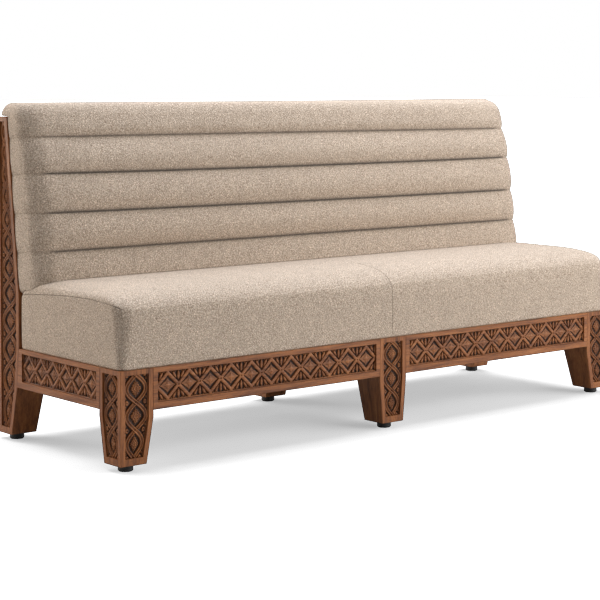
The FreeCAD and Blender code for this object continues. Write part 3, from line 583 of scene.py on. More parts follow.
def smooth_value(share, table, column=1):
    """The value at a share in a table of shares and values, by cubic pieces with limited slopes."""
    x, y = np.array(table, float).T[[0, column]]
    step = np.diff(x)
    slope = np.diff(y) / step
    tangent = np.zeros_like(x)
    product = slope[:-1] * slope[1:]
    tangent[1:-1] = np.where(product > 0, 2 * product / np.where(product > 0, slope[:-1] + slope[1:], 1), 0)
    tangent[0], tangent[-1] = slope[0], slope[-1]
    i = np.clip(np.searchsorted(x, share) - 1, 0, len(x) - 2)
    t = (share - x[i]) / step[i]
    return float((2 * t ** 3 - 3 * t ** 2 + 1) * y[i] + (t ** 3 - 2 * t ** 2 + t) * step[i] * tangent[i]
                 + (3 * t ** 2 - 2 * t ** 3) * y[i + 1] + (t ** 3 - t ** 2) * step[i] * tangent[i + 1])


def closing_ring(ring, counts):
    """The ring shrunk to a line along its middle, where the net's two sides meet."""
    middle = (ring[:, 1].min() + ring[:, 1].max()) / 2
    half_x = np.abs(ring[:, 0]).max() * 0.97
    line = rounded_ring(half_x, middle, middle, 0.5, 0.5, counts)
    line[:, 1] = middle
    return np.column_stack([line, np.full(len(line), ring[:, 2].mean())])


def blended(first, second, share):
    """A ring between two others."""
    return first + (second - first) * share


def ring_net(rings):
    """Points and faces of stacked rings, each with the same number of points."""
    points = np.stack(rings)
    faces = grid_faces(points.shape[0], points.shape[1], wrap=True)
    return points.reshape(-1, 3), faces, points.shape


SEAT_PLUMP, BACK_PLUMP = ((0.4, 0.85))
print("ring helpers ready; the nets start at", SEAT_PLUMP, "and", BACK_PLUMP, "of their fullness")

# %% [markdown]
# The seat is one long cushion: a foam block with upright sides, a soft crown and a waterfall front edge, in a
# cover whose ends are separate panels. Above the sides the rings draw in along the crown's curve, more at the rear
# than at the front, and then run together on the cushion's middle line. The seam that joins an end panel to the
# top rises towards the panel's middle, because the foam is fullest there, so the rings near it rise too.

# %% The seat cushion's net
SEAT_COUNTS = (84, 40)
SEAT_DEPTH = SEAT_FAR - SEAT_NEAR
SEAT_LIFT = 0.4
SEAT_REAR_CORNER = 14
SEAT_CREST = SEAT_TOP - 1.0
SIDE_DRAW, SIDE_SWELL = 4.5, 4
SIDE_STEPS = (0, 0.03, 0.07, 0.13, 0.2, 0.28, 0.36, 0.45, 0.54, 0.63, 0.72, 0.8, 0.87, 0.93, 0.97, 0.99, 1.0)
CROWN_STEPS = (0.03, 0.08, 0.16, 0.25, 0.35, 0.45, 0.55, 0.64, 0.72, 0.79, 0.85, 0.9, 0.94, 0.97, 1.0)
CROWN_FADE = 17
SIDE_TABLE = ((0, 0), (0.06, 0.58), (0.2, 0.92), (0.45, 1.0), (0.74, 0.85), (0.92, 0.55), (1.0, 0.3))
CROWN_TABLE = ((0, 0, 0, 0, 0), (0.26, 0.003, 0.026, 0.03, 0.018), (0.54, 0.017, 0.07, 0.1, 0.044),
               (0.78, 0.065, 0.136, 0.194, 0.065), (0.92, 0.135, 0.21, 0.288, 0.07), (1, 0.25, 0.31, 0.404, 0.055))
ROLL_OVER = ((0, 0), (405, 0), (418, 0.6), (430, 2.4), (440, 5.2), (445, 7.2), (458, 4.0), (472, 2.0), (484, 0),
             (500, 0))
CORNER_WIDTH = ((280, 16), (300, 24), (340, 34), (400, 42), (445, 44), (470, 30), (500, 26))
SEAM_RISE = ((-325, -9), (-314, 0), (-282, 10), (-224, 15), (-169, 18), (-67, 16), (6, 11), (86, 5), (166, -2),
             (197, -9))


def raised(ring, weight):
    """The ring with its ends lifted by the end seam's rise, times weight."""
    beside = smoothstep((np.abs(ring[:, 0]) - (SEAT_HALF - 34)) / 30)
    rise = straight_value(ring[:, 1], SEAM_RISE)
    ring[:, 2] += rise * beside * weight
    return ring


def seat_ring(level, draw, shares=(0, 0, 0, 0), weight=0.0):
    """The seat's outline at a height, drawn in all round by draw and by each side's share of the seat's depth."""
    side, near, far, corner = (share * SEAT_DEPTH for share in shares)
    near += float(straight_value(level, ROLL_OVER))
    width = float(straight_value(level, CORNER_WIDTH))
    plan = rounded_ring(SEAT_HALF - draw - side, SEAT_NEAR + draw + near, SEAT_FAR - draw * 0.4 - far,
                        width + corner, SEAT_REAR_CORNER + corner, SEAT_COUNTS)
    return raised(np.column_stack([plan, np.full(len(plan), level)]), weight)


def seat_rings(plump):
    """Rings from under the seat, up its sides, over the crown and in to the middle line; and where the seam is."""
    first = seat_ring(SEAT_LOW + SEAT_LIFT, 40.0)
    rings = [closing_ring(first, SEAT_COUNTS)]
    rings += [blended(rings[0], first, share) for share in (0.35, 0.7, 1.0)]
    rings.append(seat_ring(SEAT_LOW + SEAT_LIFT, 12.0))
    height = SEAT_SEAM - SEAT_LOW - SEAT_LIFT
    for share in SIDE_STEPS:
        bulge = smooth_value(share, SIDE_TABLE) * plump
        level = SEAT_LOW + SEAT_LIFT + height * share
        rings.append(seat_ring(level, SIDE_DRAW - SIDE_SWELL * bulge, weight=share ** 3))
    seam_row = len(rings) - 1
    crown = SEAT_CREST - SEAT_SEAM
    for share in CROWN_STEPS:
        shares = [smooth_value(share, CROWN_TABLE, column) for column in (1, 2, 3, 4)]
        rings.append(seat_ring(SEAT_SEAM + crown * share, SIDE_DRAW - SIDE_SWELL * 0.3 * plump * (1 - share), shares,
                               math.exp(-crown * share / CROWN_FADE)))
    crest = rings[-1]
    middle_line = closing_ring(crest, SEAT_COUNTS)
    for share in np.linspace(0, 1, 13)[1:]:
        ring = blended(crest, middle_line, share)
        ring[:, 2] = SEAT_CREST + 1.5 * (1 - (1 - share) ** 2)
        rings.append(ring)
    return rings, seam_row


rings, seat_seam_row = seat_rings(SEAT_PLUMP)
points, faces, seat_shape = ring_net(rings)
seat_cushion = new_piece("seat_cushion", points, faces)
print("seat net", seat_shape, triangles(seat_cushion), "triangles")

# %% [markdown]
# The back cushion leans on the posts and gets thinner towards its top. Four stitched channels and a rolled top run
# along it. A channel hangs a little over the seam below it, as stuffing does, so each seam is a narrow dark line
# under a full lower edge. On the ends the seams drop towards the rear, square to the back's lean. Sewn by hand,
# the seams wander a few millimetres up or down along the bench.

# %% The back cushion's net
BACK_COUNTS = (66, 12)
CHANNEL_TABLE = ((0, 0), (0.014, 0.15), (0.04, 0.3), (0.09, 0.51), (0.16, 0.71), (0.25, 0.88), (0.34, 0.97),
                 (0.42, 1.0), (0.5, 0.99), (0.6, 0.93), (0.7, 0.82), (0.8, 0.66), (0.88, 0.47), (0.94, 0.29),
                 (0.98, 0.13), (1.0, 0.0))
CHANNEL_STEPS = (0, 0.012, 0.03, 0.06, 0.11, 0.18, 0.27, 0.38, 0.5, 0.61, 0.71, 0.8, 0.87, 0.93, 0.97, 0.988)
FOOT_STEPS = (0, 0.03, 0.07, 0.12, 0.18, 0.25, 0.33, 0.41, 0.5, 0.6, 0.7, 0.79, 0.86, 0.92, 0.965, 0.988)
ROLL_TABLE = ((0, 0), (0.45, 0), (0.65, 0.05), (0.8, 0.2), (0.92, 0.46), (0.98, 0.75), (1.0, 1.0))
ROLL_STEPS = (0, 0.014, 0.035, 0.07, 0.13, 0.2, 0.29, 0.39, 0.5, 0.595, 0.6083, 0.613, 0.68, 0.75, 0.82, 0.88, 0.93,
              0.965, 0.985, 1.0)
DEPTH_TABLE = ((0, 1.0), (0.2, 1.0), (0.41, 0.995), (0.61, 0.955), (0.82, 0.83), (1.0, 0.68))
SHIFT_LEVELS = (437, 569, 678, 787, 896, 993)
SEAM_SHIFTS = ((0, 0, 2.5, 7, 3, 4), (0, -2, -5, -1, -1.5, 0), (0, -4, -7.5, 0, -7, -6))
CHANNEL_PITCH = 109
PAD_DEPTH = 118.0
CHANNEL_BULGE = 23.0
END_BOW, BOW_REACH = 11.0, 90
END_FADE, FADE_START, FADE_REACH = 0.6, 190, 180
SIDE_BULGE = 4.0
BACK_CORNERS = (58.0, 24.0)
REAR_CORNER = 22
TOP_DRAW = 26.0
FOOT_ROLL = 15.0
FOOT_BULGE = 0.42
END_LEAN = 0.11


def back_ring(level, bulge, draw):
    """The back's outline at a height; bulge is 0 in a seam and 1 on a channel's crest, and draw rounds its top. The
    left end's near corner is fuller than the right one's, as the photo shows. The ends bow: towards the front their
    points draw in by the square of the distance from the wood."""
    share = np.clip((level - SEAM_LEVELS[0]) / (BACK_TOP - SEAM_LEVELS[0]), 0, 1)
    depth = PAD_DEPTH * smooth_value(share, DEPTH_TABLE)
    near = float(post_front(level)) - depth - CHANNEL_BULGE * bulge + draw
    half_x = BACK_HALF - SIDE_BULGE * (1 - bulge) - draw
    over_posts = level > POST_TOP + 0.3
    wood = float(post_front(min(level, POST_TOP))) - 0.8
    far = BACK_FAR - draw if over_posts else wood
    left, right = (rounded_ring(half_x, near, far, radius, REAR_CORNER if over_posts else 1.0, BACK_COUNTS)
                   for radius in BACK_CORNERS)
    plan = np.where(right[:, :1] < 0, left, right)
    offset = (plan[:, 1] - (near + wood) / 2) / (wood - near) * 2
    at_end = smoothstep((np.abs(plan[:, 0]) - half_x + BOW_REACH) / BOW_REACH)
    plan[:, 0] -= np.sign(plan[:, 0]) * END_BOW * at_end * np.clip(0.4 - offset, 0, 1.4) ** 2 / 2
    flatter = END_FADE * smoothstep((np.abs(plan[:, 0]) - half_x + FADE_START) / FADE_REACH)
    plan[:, 1] += CHANNEL_BULGE * bulge * flatter * np.clip((wood - plan[:, 1]) / (wood - near), 0, 1)
    shift = [float(np.interp(level, SHIFT_LEVELS, values)) for values in SEAM_SHIFTS]
    along = plan[:, 0] / BACK_HALF
    wander = shift[1] + (shift[2] - shift[0]) / 2 * along + ((shift[0] + shift[2]) / 2 - shift[1]) * along ** 2
    lean = END_LEAN * float(smoothstep((level - 470) / 60) * smoothstep((POST_TOP - 6 - level) / 40))
    drop = lean * np.clip(plan[:, 1] - near - 30, 0, 90)
    return np.column_stack([plan, np.full(len(plan), level) - drop + wander])


def back_rings(plump):
    """Rings from the back's foot to its top, and in to the middle line; and which rows are seams."""
    foot = back_ring(BACK_FOOT, FOOT_BULGE, FOOT_ROLL)
    rings = [closing_ring(foot, BACK_COUNTS)]
    rings += [blended(rings[0], foot, share) for share in (0.4, 0.8)]
    seam_rows = []
    foot_height = SEAM_LEVELS[1] - BACK_FOOT
    for share in FOOT_STEPS:
        start = FOOT_ROLL * (1 - math.sin(math.pi / 2 * min(share / 0.12, 1)))
        bulge = FOOT_BULGE + 0.58 * share / 0.3 if share < 0.3 else smooth_value(share, CHANNEL_TABLE)
        rings.append(back_ring(BACK_FOOT + foot_height * share, min(bulge, 1) * plump, start))
    for low in SEAM_LEVELS[1:-1]:
        seam_rows.append(len(rings))
        for share in CHANNEL_STEPS:
            bulge = smooth_value(share, CHANNEL_TABLE)
            rings.append(back_ring(low + CHANNEL_PITCH * share, bulge * plump, 0))
    seam_rows.append(len(rings))
    for share in ROLL_STEPS:
        level = SEAM_LEVELS[-1] + (BACK_TOP - SEAM_LEVELS[-1]) * share
        bulge = smooth_value(min(share, 0.27), CHANNEL_TABLE)
        rings.append(back_ring(level, bulge * plump, TOP_DRAW * smooth_value(share, ROLL_TABLE)))
    top = rings[-1]
    middle_line = closing_ring(top, BACK_COUNTS)
    for share in (0.25, 0.5, 0.75, 1.0):
        ring = blended(top, middle_line, share)
        ring[:, 2] = BACK_TOP + 0.8 * (1 - (1 - share) ** 2)
        rings.append(ring)
    return rings, seam_rows


rings, back_seam_rows = back_rings(BACK_PLUMP)
points, faces, back_shape = ring_net(rings)
back_cushion = new_piece("back_cushion", points, faces)
print("back net", back_shape, triangles(back_cushion), "triangles")

# %% [markdown]
# The covers are then stuffed. Each net becomes cloth, held along its seams and where it rests on wood, and air
# pressure fills it for twenty frames without gravity. The cloth swells between the seams and pulls in towards
# them. No point may end further than a few millimetres from where it was drawn, so the cushion keeps its size.

# %% Stuff the cushions
CLOTH_FRAMES = 20
SEAT_HELD_ROWS, BACK_HELD_ROWS = 7, 4
SEAT_HELD_REAR, BACK_HELD_REAR, POST_HELD = 14, 12, 3
AIR_PRESSURE = 4.0
SEAT_LIMIT, BACK_LIMIT = 6.0, 3.0


def stuffed(piece, held, pressure, limit):
    """Run a cloth simulation on a piece with its held points pinned, and keep the result up to limit mm away."""
    start = points_of(piece)
    group = piece.vertex_groups.new(name="held")
    for weight in np.unique(held[held > 0]):
        group.add(np.flatnonzero(held == weight).tolist(), float(weight), "REPLACE")
    cloth = piece.modifiers.new("stuffing", "CLOTH")
    settings = cloth.settings
    settings.quality = 5
    settings.mass = 0.4
    settings.tension_stiffness = 25
    settings.compression_stiffness = 25
    settings.shear_stiffness = 12
    settings.bending_stiffness = 2.5
    settings.use_pressure = True
    settings.uniform_pressure_force = pressure
    settings.effector_weights.gravity = 0
    settings.vertex_group_mass = "held"
    cloth.collision_settings.use_collision = False
    cloth.point_cache.frame_start = 1
    cloth.point_cache.frame_end = CLOTH_FRAMES
    scene = bpy.context.scene
    for frame_number in range(1, CLOTH_FRAMES + 1):
        scene.frame_set(frame_number)
    ready = piece.evaluated_get(bpy.context.evaluated_depsgraph_get())
    moved = points_of(ready) - start
    piece.modifiers.remove(cloth)
    piece.vertex_groups.clear()
    scene.frame_set(1)
    length = np.linalg.norm(moved, axis=1, keepdims=True)
    kept = moved * (limit * np.tanh(length / limit) / np.maximum(length, 1e-9))
    place_points(piece, start + kept)
    print(piece.name, "swelled by up to", round(float(length.max()), 1), "mm, kept",
          round(float(np.linalg.norm(kept, axis=1).max()), 1))


seat_points = points_of(seat_cushion)
seat_held = np.zeros(seat_shape[:2])
seat_held[:SEAT_HELD_ROWS] = 1
seat_held[seat_seam_row] = 0.9
seat_held = seat_held.ravel()
seat_held[seat_points[:, 1] > SEAT_FAR - SEAT_HELD_REAR] = 1
back_points = points_of(back_cushion)
back_held = np.zeros(back_shape[:2])
back_held[:BACK_HELD_ROWS] = 1
back_held[back_seam_rows] = 1
back_held = back_held.ravel()
by_the_post = back_points[:, 1] > post_front(back_points[:, 2]) - POST_HELD
back_held[by_the_post & (back_points[:, 2] < POST_TOP + 1)] = 1
back_held[back_points[:, 1] > BACK_FAR - BACK_HELD_REAR] = 1
stuffed(seat_cushion, seat_held, AIR_PRESSURE, SEAT_LIMIT)
stuffed(back_cushion, back_held, AIR_PRESSURE, BACK_LIMIT)

# %% [markdown]
# With the covers full, the seams are sewn: a narrow groove runs along each one, with the cloth a little proud
# beside it. The seat has a seam round each end panel and one down its middle, and the back has its channels. The
# back's foot is then pressed onto the seat, so that the two cushions touch without passing through each other.
# Each seam also gets a number that darkens the cloth's colour there, and so do the rows just below and above a back
# seam: painted shade in the seams' creases and on the channels' lower edges.

# %% Sew the seams
SEAT_SEAM_DEPTH, BACK_SEAM_DEPTH = 2.4, 2.6
CORNER_SEAM, MIDDLE_SEAM = 0.45, 0.8
CHANNEL_SEAMS = (0.85, 1.0, 1.0, 0.65)
SEAM_FADE = 985.0
# Painted shade: how much of a back seam's darkening reaches the rows just below (-) and above (+) it.
SEAM_SHADE = ((-2, 0.3), (-1, 0.8), (1, 0.9), (2, 0.62), (3, 0.4), (4, 0.2))
CONTACT_GAP = 0.0006


def sewn(piece, depth):
    """Push a piece's points in along their normals by a depth for each point."""
    mesh = piece.data
    normals = np.empty(len(mesh.vertices) * 3, np.float32)
    mesh.update()
    mesh.vertices.foreach_get("normal", normals)
    place_points(piece, points_of(piece) - normals.reshape(-1, 3) * depth.reshape(-1, 1))


for piece in (seat_cushion, back_cushion):
    face_outwards(piece)

seat_net = points_of(seat_cushion).reshape(*seat_shape)
round_end = smoothstep((np.abs(seat_net[..., 0]) - (SEAT_HALF - 30)) / 16) * (seat_net[..., 2] > SEAT_SEAM - 40)
# The seat's seams: a depth to push in, and the same numbers later paint shade into the cloth's colour there.
seat_seam_and_shade = np.zeros(seat_shape[:2])
seat_seam_and_shade[seat_seam_row] = round_end[seat_seam_row]
corner_column = len(SEAM_COLUMNS) + SEAT_COUNTS[0] + int(np.argmin(np.abs(CORNER_TURN - np.radians(45))))
for column in (corner_column, seat_shape[1] - corner_column):
    seat_seam_and_shade[SEAT_HELD_ROWS:seat_seam_row + 1, column] = CORNER_SEAM
seat_seam_and_shade[SEAT_HELD_ROWS:, 0] = np.maximum(seat_seam_and_shade[SEAT_HELD_ROWS:, 0], MIDDLE_SEAM)
sewn(seat_cushion, seat_seam_and_shade * SEAT_SEAM_DEPTH)
back_net = points_of(back_cushion).reshape(*back_shape)
# The back's seams: a depth to push in, and numbers that paint shade into the cloth along each seam and beside it.
back_seam_and_shade = np.zeros(back_shape[:2])
back_depth = np.zeros(back_shape[:2])
for row, strength in zip(back_seam_rows, CHANNEL_SEAMS):
    on_near_side = back_net[row, :, 1] < back_net[row, :, 1].mean()
    fades = smoothstep((SEAM_FADE - np.abs(back_net[row, :, 0])) / 60) * on_near_side
    back_seam_and_shade[row] = strength * np.maximum(fades, 0.25)
    back_depth[row] = back_seam_and_shade[row] * BACK_SEAM_DEPTH
    # painted shade spreads from each seam to the rows just beside it
    for beside, share in SEAM_SHADE:
        back_seam_and_shade[row + beside] = share * back_seam_and_shade[row]
sewn(back_cushion, back_depth)
print("sewn", int((seat_seam_and_shade > 0.5).sum()), "points of the seat and", int((back_seam_and_shade > 0.2).sum()), "of the back")

seat_surface = BVHTree.FromPolygons(
    [Vector(point) for point in points_of(seat_cushion) * MM],
    [tuple(face.vertices) for face in seat_cushion.data.polygons])
back_points = points_of(back_cushion)
for index in np.flatnonzero(back_points[:, 2] < SEAT_TOP + 6):
    x, y, z = back_points[index] * MM
    hit = seat_surface.ray_cast(Vector((x, y, 1.0)), Vector((0, 0, -1)))[0]
    if hit is not None and z < hit.z + CONTACT_GAP:
        back_points[index, 2] = (hit.z + CONTACT_GAP) / MM
place_points(back_cushion, back_points)

# Painted shade: the seams' numbers, with the rows beside the back's seams, are kept for the cloth's finish to darken
# by.
for piece, seam_and_shade in ((seat_cushion, seat_seam_and_shade), (back_cushion, back_seam_and_shade)):
    set_numbers(piece, "seam", seam_and_shade.ravel())

# %% [markdown]
# Points that lie together become one, and a subdivision smooths each net.

for piece, covered in ((seat_cushion, ("seat_cover", "seat_foam")), (back_cushion, ("back_cover", "back_foam"))):
    face_outwards(piece, 0.5 * MM)
    for face in piece.data.polygons:
        face.use_smooth = True
    finer = piece.modifiers.new("finer", "SUBSURF")
    finer.levels = finer.render_levels = 1
    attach(piece, "root")
    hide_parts(*covered)
    edit = bmesh.new()
    edit.from_mesh(piece.data)
    loose = sum(not edge.is_manifold for edge in edit.edges)
    print(piece.name, len(piece.data.vertices), "points,", loose, "open edges")
    edit.free()

# %% [markdown]
# Two flat cloths close the bench where nobody sits. The outside back is the cover's own cloth, stretched over the
# rear of the back frame and stapled, with a tuck of fullness held flat. The dust cover is a thin black felt under
# the seat, cut round the legs. A stretched cloth hollows a little between the ribs that hold it and has soft folds
# beside its edge, so each is a grid of points moved by a few smooth waves, with its cut-outs left open.

# %% Cloth panels
def cloth_panel(name, first, second, holes, place, thickness, replaced):
    """A sheet over the grid of two rising rows of numbers. Cells whose middle lies in a hole (low and high of both
    directions) are left out, place gives each point's place, and Solidify adds the cloth's thickness."""
    run, rise = np.meshgrid(first, second, indexing="xy")
    cells = grid_faces(len(second), len(first))
    middle_run = run.ravel()[cells].mean(1)
    middle_rise = rise.ravel()[cells].mean(1)
    kept = np.ones(len(cells), bool)
    for low_run, high_run, low_rise, high_rise in holes:
        inside_run = (middle_run > low_run) & (middle_run < high_run)
        kept &= ~(inside_run & (middle_rise > low_rise) & (middle_rise < high_rise))
    cells = cells[kept]
    used, numbers = np.unique(cells, return_inverse=True)
    points = place(run.ravel()[used], rise.ravel()[used])
    panel = new_piece(name, points, numbers.reshape(-1, 4))
    wall = panel.modifiers.new("thickness", "SOLIDIFY")
    wall.thickness = thickness * MM
    wall.offset = 0.0
    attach(panel, "root")
    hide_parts(replaced)
    area = sum(face.area for face in panel.data.polygons)
    print(name, triangles(panel), "triangles", round(area, 3), "square metres")
    return panel, area


def graded(marks, step):
    """Evenly spaced numbers through every mark, at most one step apart."""
    parts = [even_steps(low, high, step)[:-1] for low, high in zip(marks[:-1], marks[1:])]
    return np.concatenate([*parts, marks[-1:]])


RIB_PITCH, FOLD_PITCH = 500.0, 62
OUTSIDE_Y = 319.3
OUTSIDE_HALF, OUTSIDE_LOW, OUTSIDE_HIGH = 903.0, 250.0, 954.0
NOTCH_HALF, NOTCH_TOP = 49.0, 281.0


def outside_back_place(x, z):
    """Points of the outside back. It hollows by up to half a millimetre between ribs and has shallow pull folds at
    its lower edge, where staples hold it: a wave along X that fades upwards."""
    hollow = 0.45 * (1 - np.cos(2 * math.pi * x / RIB_PITCH)) * smoothstep((OUTSIDE_HIGH - z) / 120)
    pull = 0.3 * np.sin(2 * math.pi * x / FOLD_PITCH) * np.exp(-(z - OUTSIDE_LOW) / 60)
    return np.stack([x, OUTSIDE_Y - hollow * 0.6 - np.abs(pull), z], -1)


outside_back, outside_area = cloth_panel(
    "outside_back", graded([-OUTSIDE_HALF, -NOTCH_HALF, NOTCH_HALF, OUTSIDE_HALF], 15.0),
    graded([OUTSIDE_LOW, NOTCH_TOP, OUTSIDE_HIGH], 12.0),
    [(-NOTCH_HALF, NOTCH_HALF, OUTSIDE_LOW, NOTCH_TOP)], outside_back_place, 1.6, "outside_back_cover")

DUST_HALF, DUST_NEAR, DUST_FAR, DUST_LEVEL = 992.0, -317.0, 310.0, 164.5
NEAR_CUT, FAR_CUT = -220.0, 212.0
DUST_HOLES = [(-DUST_HALF, -891.0, DUST_NEAR, NEAR_CUT), (-55.0, 55.0, DUST_NEAR, NEAR_CUT),
              (891.0, DUST_HALF, DUST_NEAR, NEAR_CUT), (-DUST_HALF, -903.0, FAR_CUT, DUST_FAR),
              (-49.0, 49.0, FAR_CUT, DUST_FAR), (903.0, DUST_HALF, FAR_CUT, DUST_FAR)]


def dust_cover_place(x, y):
    """Points of the dust cover: level at its stapled edges, and sagging 3 mm between them as a product of sines."""
    share_x = np.clip((x + DUST_HALF) / (2 * DUST_HALF), 0, 1)
    share_y = np.clip((y - DUST_NEAR - 60) / (DUST_FAR - DUST_NEAR - 120), 0, 1)
    sag = 3.0 * np.sin(2 * math.pi * share_x) ** 2 * np.sin(math.pi * share_y) ** 2
    return np.stack([x, y, DUST_LEVEL - sag], -1)


dust_sheet, dust_area = cloth_panel(
    "dust_sheet", graded([-DUST_HALF, -903.0, -891.0, -55.0, -49.0, 49.0, 55.0, 891.0, 903.0, DUST_HALF], 18.0),
    graded([DUST_NEAR, NEAR_CUT, FAR_CUT, DUST_FAR], 16.0),
    DUST_HOLES, dust_cover_place, 0.8, "dust_cover")

# %% [markdown]
# The floor is one plain sweep, and only shade shows on it. For the camera a third of the white behind it comes
# through, so that the shade under the bench is a soft pale grey. For the bench it throws back less light, as a floor
# does that is only lit from above.

# %% The floor
FLOOR_HALF, FLOOR_LEVEL = 60000.0, -0.5
CLEAR_SHARE = 0.345
corner_x = np.array([-FLOOR_HALF, FLOOR_HALF, FLOOR_HALF, -FLOOR_HALF])
corner_y = np.array([-FLOOR_HALF, -FLOOR_HALF, FLOOR_HALF, FLOOR_HALF])
corners = np.stack([corner_x, corner_y, np.full(4, FLOOR_LEVEL)], 1)
floor = new_piece("floor", corners, np.array([[0, 1, 2, 3]]), False)
floor.is_shadow_catcher = True


def new_material(name):
    """A material, its node tree and its Principled shader."""
    material = bpy.data.materials.new(name)
    material.use_nodes = True
    return material, material.node_tree, material.node_tree.nodes["Principled BSDF"]


def mixed_colour(tree, share, first, second):
    """A colour between two others."""
    return put(tree, "Mix", {"data_type": "RGBA"}, Factor=share, A=first, B=second).outputs["Result"]


floor_finish, tree, shader = new_material("studio_floor")
seen = put(tree, "LightPath").outputs["Is Camera Ray"]
tone = mixed_colour(tree, seen, (0.55, 0.54, 0.53, 1), (0.95, 0.95, 0.95, 1))
fill(tree, shader, Base_Color=tone, Roughness=0.75)
lifted = put(tree, "Math", {"operation": "MULTIPLY"}, seen, CLEAR_SHARE)
clear = put(tree, "BsdfTransparent")
mixed = put(tree, "MixShader", None, lifted.outputs["Value"], shader.outputs["BSDF"], clear.outputs["BSDF"])
fill(tree, tree.nodes["Material Output"], Surface=mixed.outputs["Shader"])
floor.data.materials.append(floor_finish)
print("floor", triangles(floor), "triangles")

# %% [markdown]
# Walnut shows dark streaks along each member, fine lines between them and short open pores. The three are one
# effect at three scales, and every wooden part needs them, so they are a node group. It takes a place on the
# timber with the grain along X, and gives a tone and a pore mask.

# %% The timber's grain
def remapped(tree, value, low=0.0, high=1.0, new_low=0.0, new_high=1.0, soft=False):
    """A value moved from one range to another, along a straight line or a soft S curve."""
    settings = {"interpolation_type": "SMOOTHSTEP" if soft else "LINEAR"}
    return put(tree, "MapRange", settings, Value=value, From_Min=low, From_Max=high, To_Min=new_low,
               To_Max=new_high).outputs["Result"]


def noise(tree, place, scale, detail, roughness=0.5, distortion=0.0):
    """A noise over places."""
    return put(tree, "TexNoise", Vector=place, Scale=scale, Detail=detail, Roughness=roughness,
               Distortion=distortion).outputs["Fac"]


def new_group(name, inputs, outputs):
    """An empty node group with the given sockets, each as (name, kind)."""
    group = bpy.data.node_groups.new(name, "ShaderNodeTree")
    for direction, sockets in (("INPUT", inputs), ("OUTPUT", outputs)):
        for socket_name, kind in sockets:
            group.interface.new_socket(socket_name, in_out=direction, socket_type="NodeSocket" + kind)
    return group, group.nodes.new("NodeGroupInput"), group.nodes.new("NodeGroupOutput")


grain, given, result = new_group("timber_grain", [("Vector", "Vector")], [("Tone", "Float"), ("Pores", "Float")])


def grain_noise(squeeze, *settings):
    """A noise along the timber, squeezed across it."""
    place = put(grain, "VectorMath", {"operation": "MULTIPLY"}, given.outputs["Vector"], (1.0, squeeze, squeeze))
    return noise(grain, place.outputs["Vector"], *settings)


streaks = grain_noise(11.0, 5.5, 5.0, 0.62, 0.7)
lines = grain_noise(26.0, 14.0, 4.0, 0.6, 0.3)
dots = grain_noise(18.0, 75.0, 2.0)
blend = put(grain, "Mix", {"data_type": "FLOAT"}, Factor=0.38, A=streaks, B=lines).outputs["Result"]
fill(grain, result, Tone=remapped(grain, blend, 0.34, 0.66), Pores=remapped(grain, dots, 0.56, 0.68, soft=True))
print("timber grain group with", len(grain.nodes), "nodes")

# %% [markdown]
# Each member's grain runs along its own length, so each finish turns the pattern that way with a Mapping node. The
# carved boards use their depth numbers too: a near-black colour, partly stain and partly painted shade, darkens what
# lies deep.

# %% Timber finishes
GRAIN_TURNS = {"x": (0, 0, 0), "y": (0, 0, math.pi / 2), "z": (0, math.pi / 2, 0)}
WALNUT = ((0.0, (0.074, 0.0225, 0.006)), (0.3, (0.181, 0.058, 0.0162)), (0.62, (0.293, 0.102, 0.028)),
          (1.0, (0.4, 0.153, 0.046)))
PALE_TIMBER = ((0.0, (0.36, 0.22, 0.12)), (0.4, (0.52, 0.36, 0.21)), (1.0, (0.66, 0.5, 0.32)))
PLY = ((0.0, (0.45, 0.3, 0.17)), (0.5, (0.6, 0.44, 0.27)), (1.0, (0.72, 0.56, 0.37)))
# Near-black brown for the carving's recesses: partly stain, partly painted shade.
STAIN_AND_SHADE = (0.014, 0.005, 0.002, 1)


def toned(tree, share, tones):
    """A colour from a ramp through tones, each a position and a colour."""
    ramp = put(tree, "ValToRGB", Fac=share)
    stops = ramp.color_ramp.elements
    while len(stops) < len(tones):
        stops.new(0.5)
    for stop, (position, colour) in zip(stops, tones):
        stop.position = position
        stop.color = (*colour, 1)
    return ramp.outputs["Color"]


def bumped(tree, height, strength, distance, invert=False):
    """The normals of a relief from a height, with its distance in metres."""
    relief = put(tree, "Bump", {"invert": invert}, Height=height, Strength=strength, Distance=distance)
    return relief.outputs["Normal"]


def timber(name, turn, offset, tones, roughness, carved=False):
    """A timber finish with its grain along one axis; offset moves the pattern so that members differ."""
    material, tree, shader = new_material(name)
    place = put(tree, "TexCoord")
    turned = put(tree, "Mapping", Vector=place.outputs["Object"], Location=offset, Rotation=GRAIN_TURNS[turn])
    pattern = put(tree, "Group", {"node_tree": grain}, Vector=turned.outputs["Vector"])
    tone, pores = pattern.outputs["Tone"], pattern.outputs["Pores"]
    dark = tuple(part * 0.6 for part in tones[0][1])
    poked = put(tree, "Math", {"operation": "MULTIPLY"}, pores, 0.55)
    colour = mixed_colour(tree, poked.outputs["Value"], toned(tree, tone, tones), (*dark, 1))
    if carved:
        # Partly stain, partly painted shade: the colour goes near black where the carving is deep or enclosed.
        groove_stain_and_shade = put(tree, "Attribute", {"attribute_name": "groove_stain_and_shade"})
        stain_and_shade = remapped(tree, groove_stain_and_shade.outputs["Fac"], 0.1, 0.8, 0.0, 0.95, soft=True)
        colour = mixed_colour(tree, stain_and_shade, colour, STAIN_AND_SHADE)
    sheen = remapped(tree, tone, 0.0, 1.0, roughness + 0.07, roughness - 0.05)
    fill(tree, shader, Base_Color=colour, Roughness=sheen, Specular_IOR_Level=0.35,
         Normal=bumped(tree, pores, 0.35, 0.0004, True))
    return material


def assign(material, *names):
    """Give a finish to CAD nodes or to pieces."""
    for name in names:
        piece = nodes[name] if isinstance(name, str) else name
        piece.data.materials.clear()
        piece.data.materials.append(material)


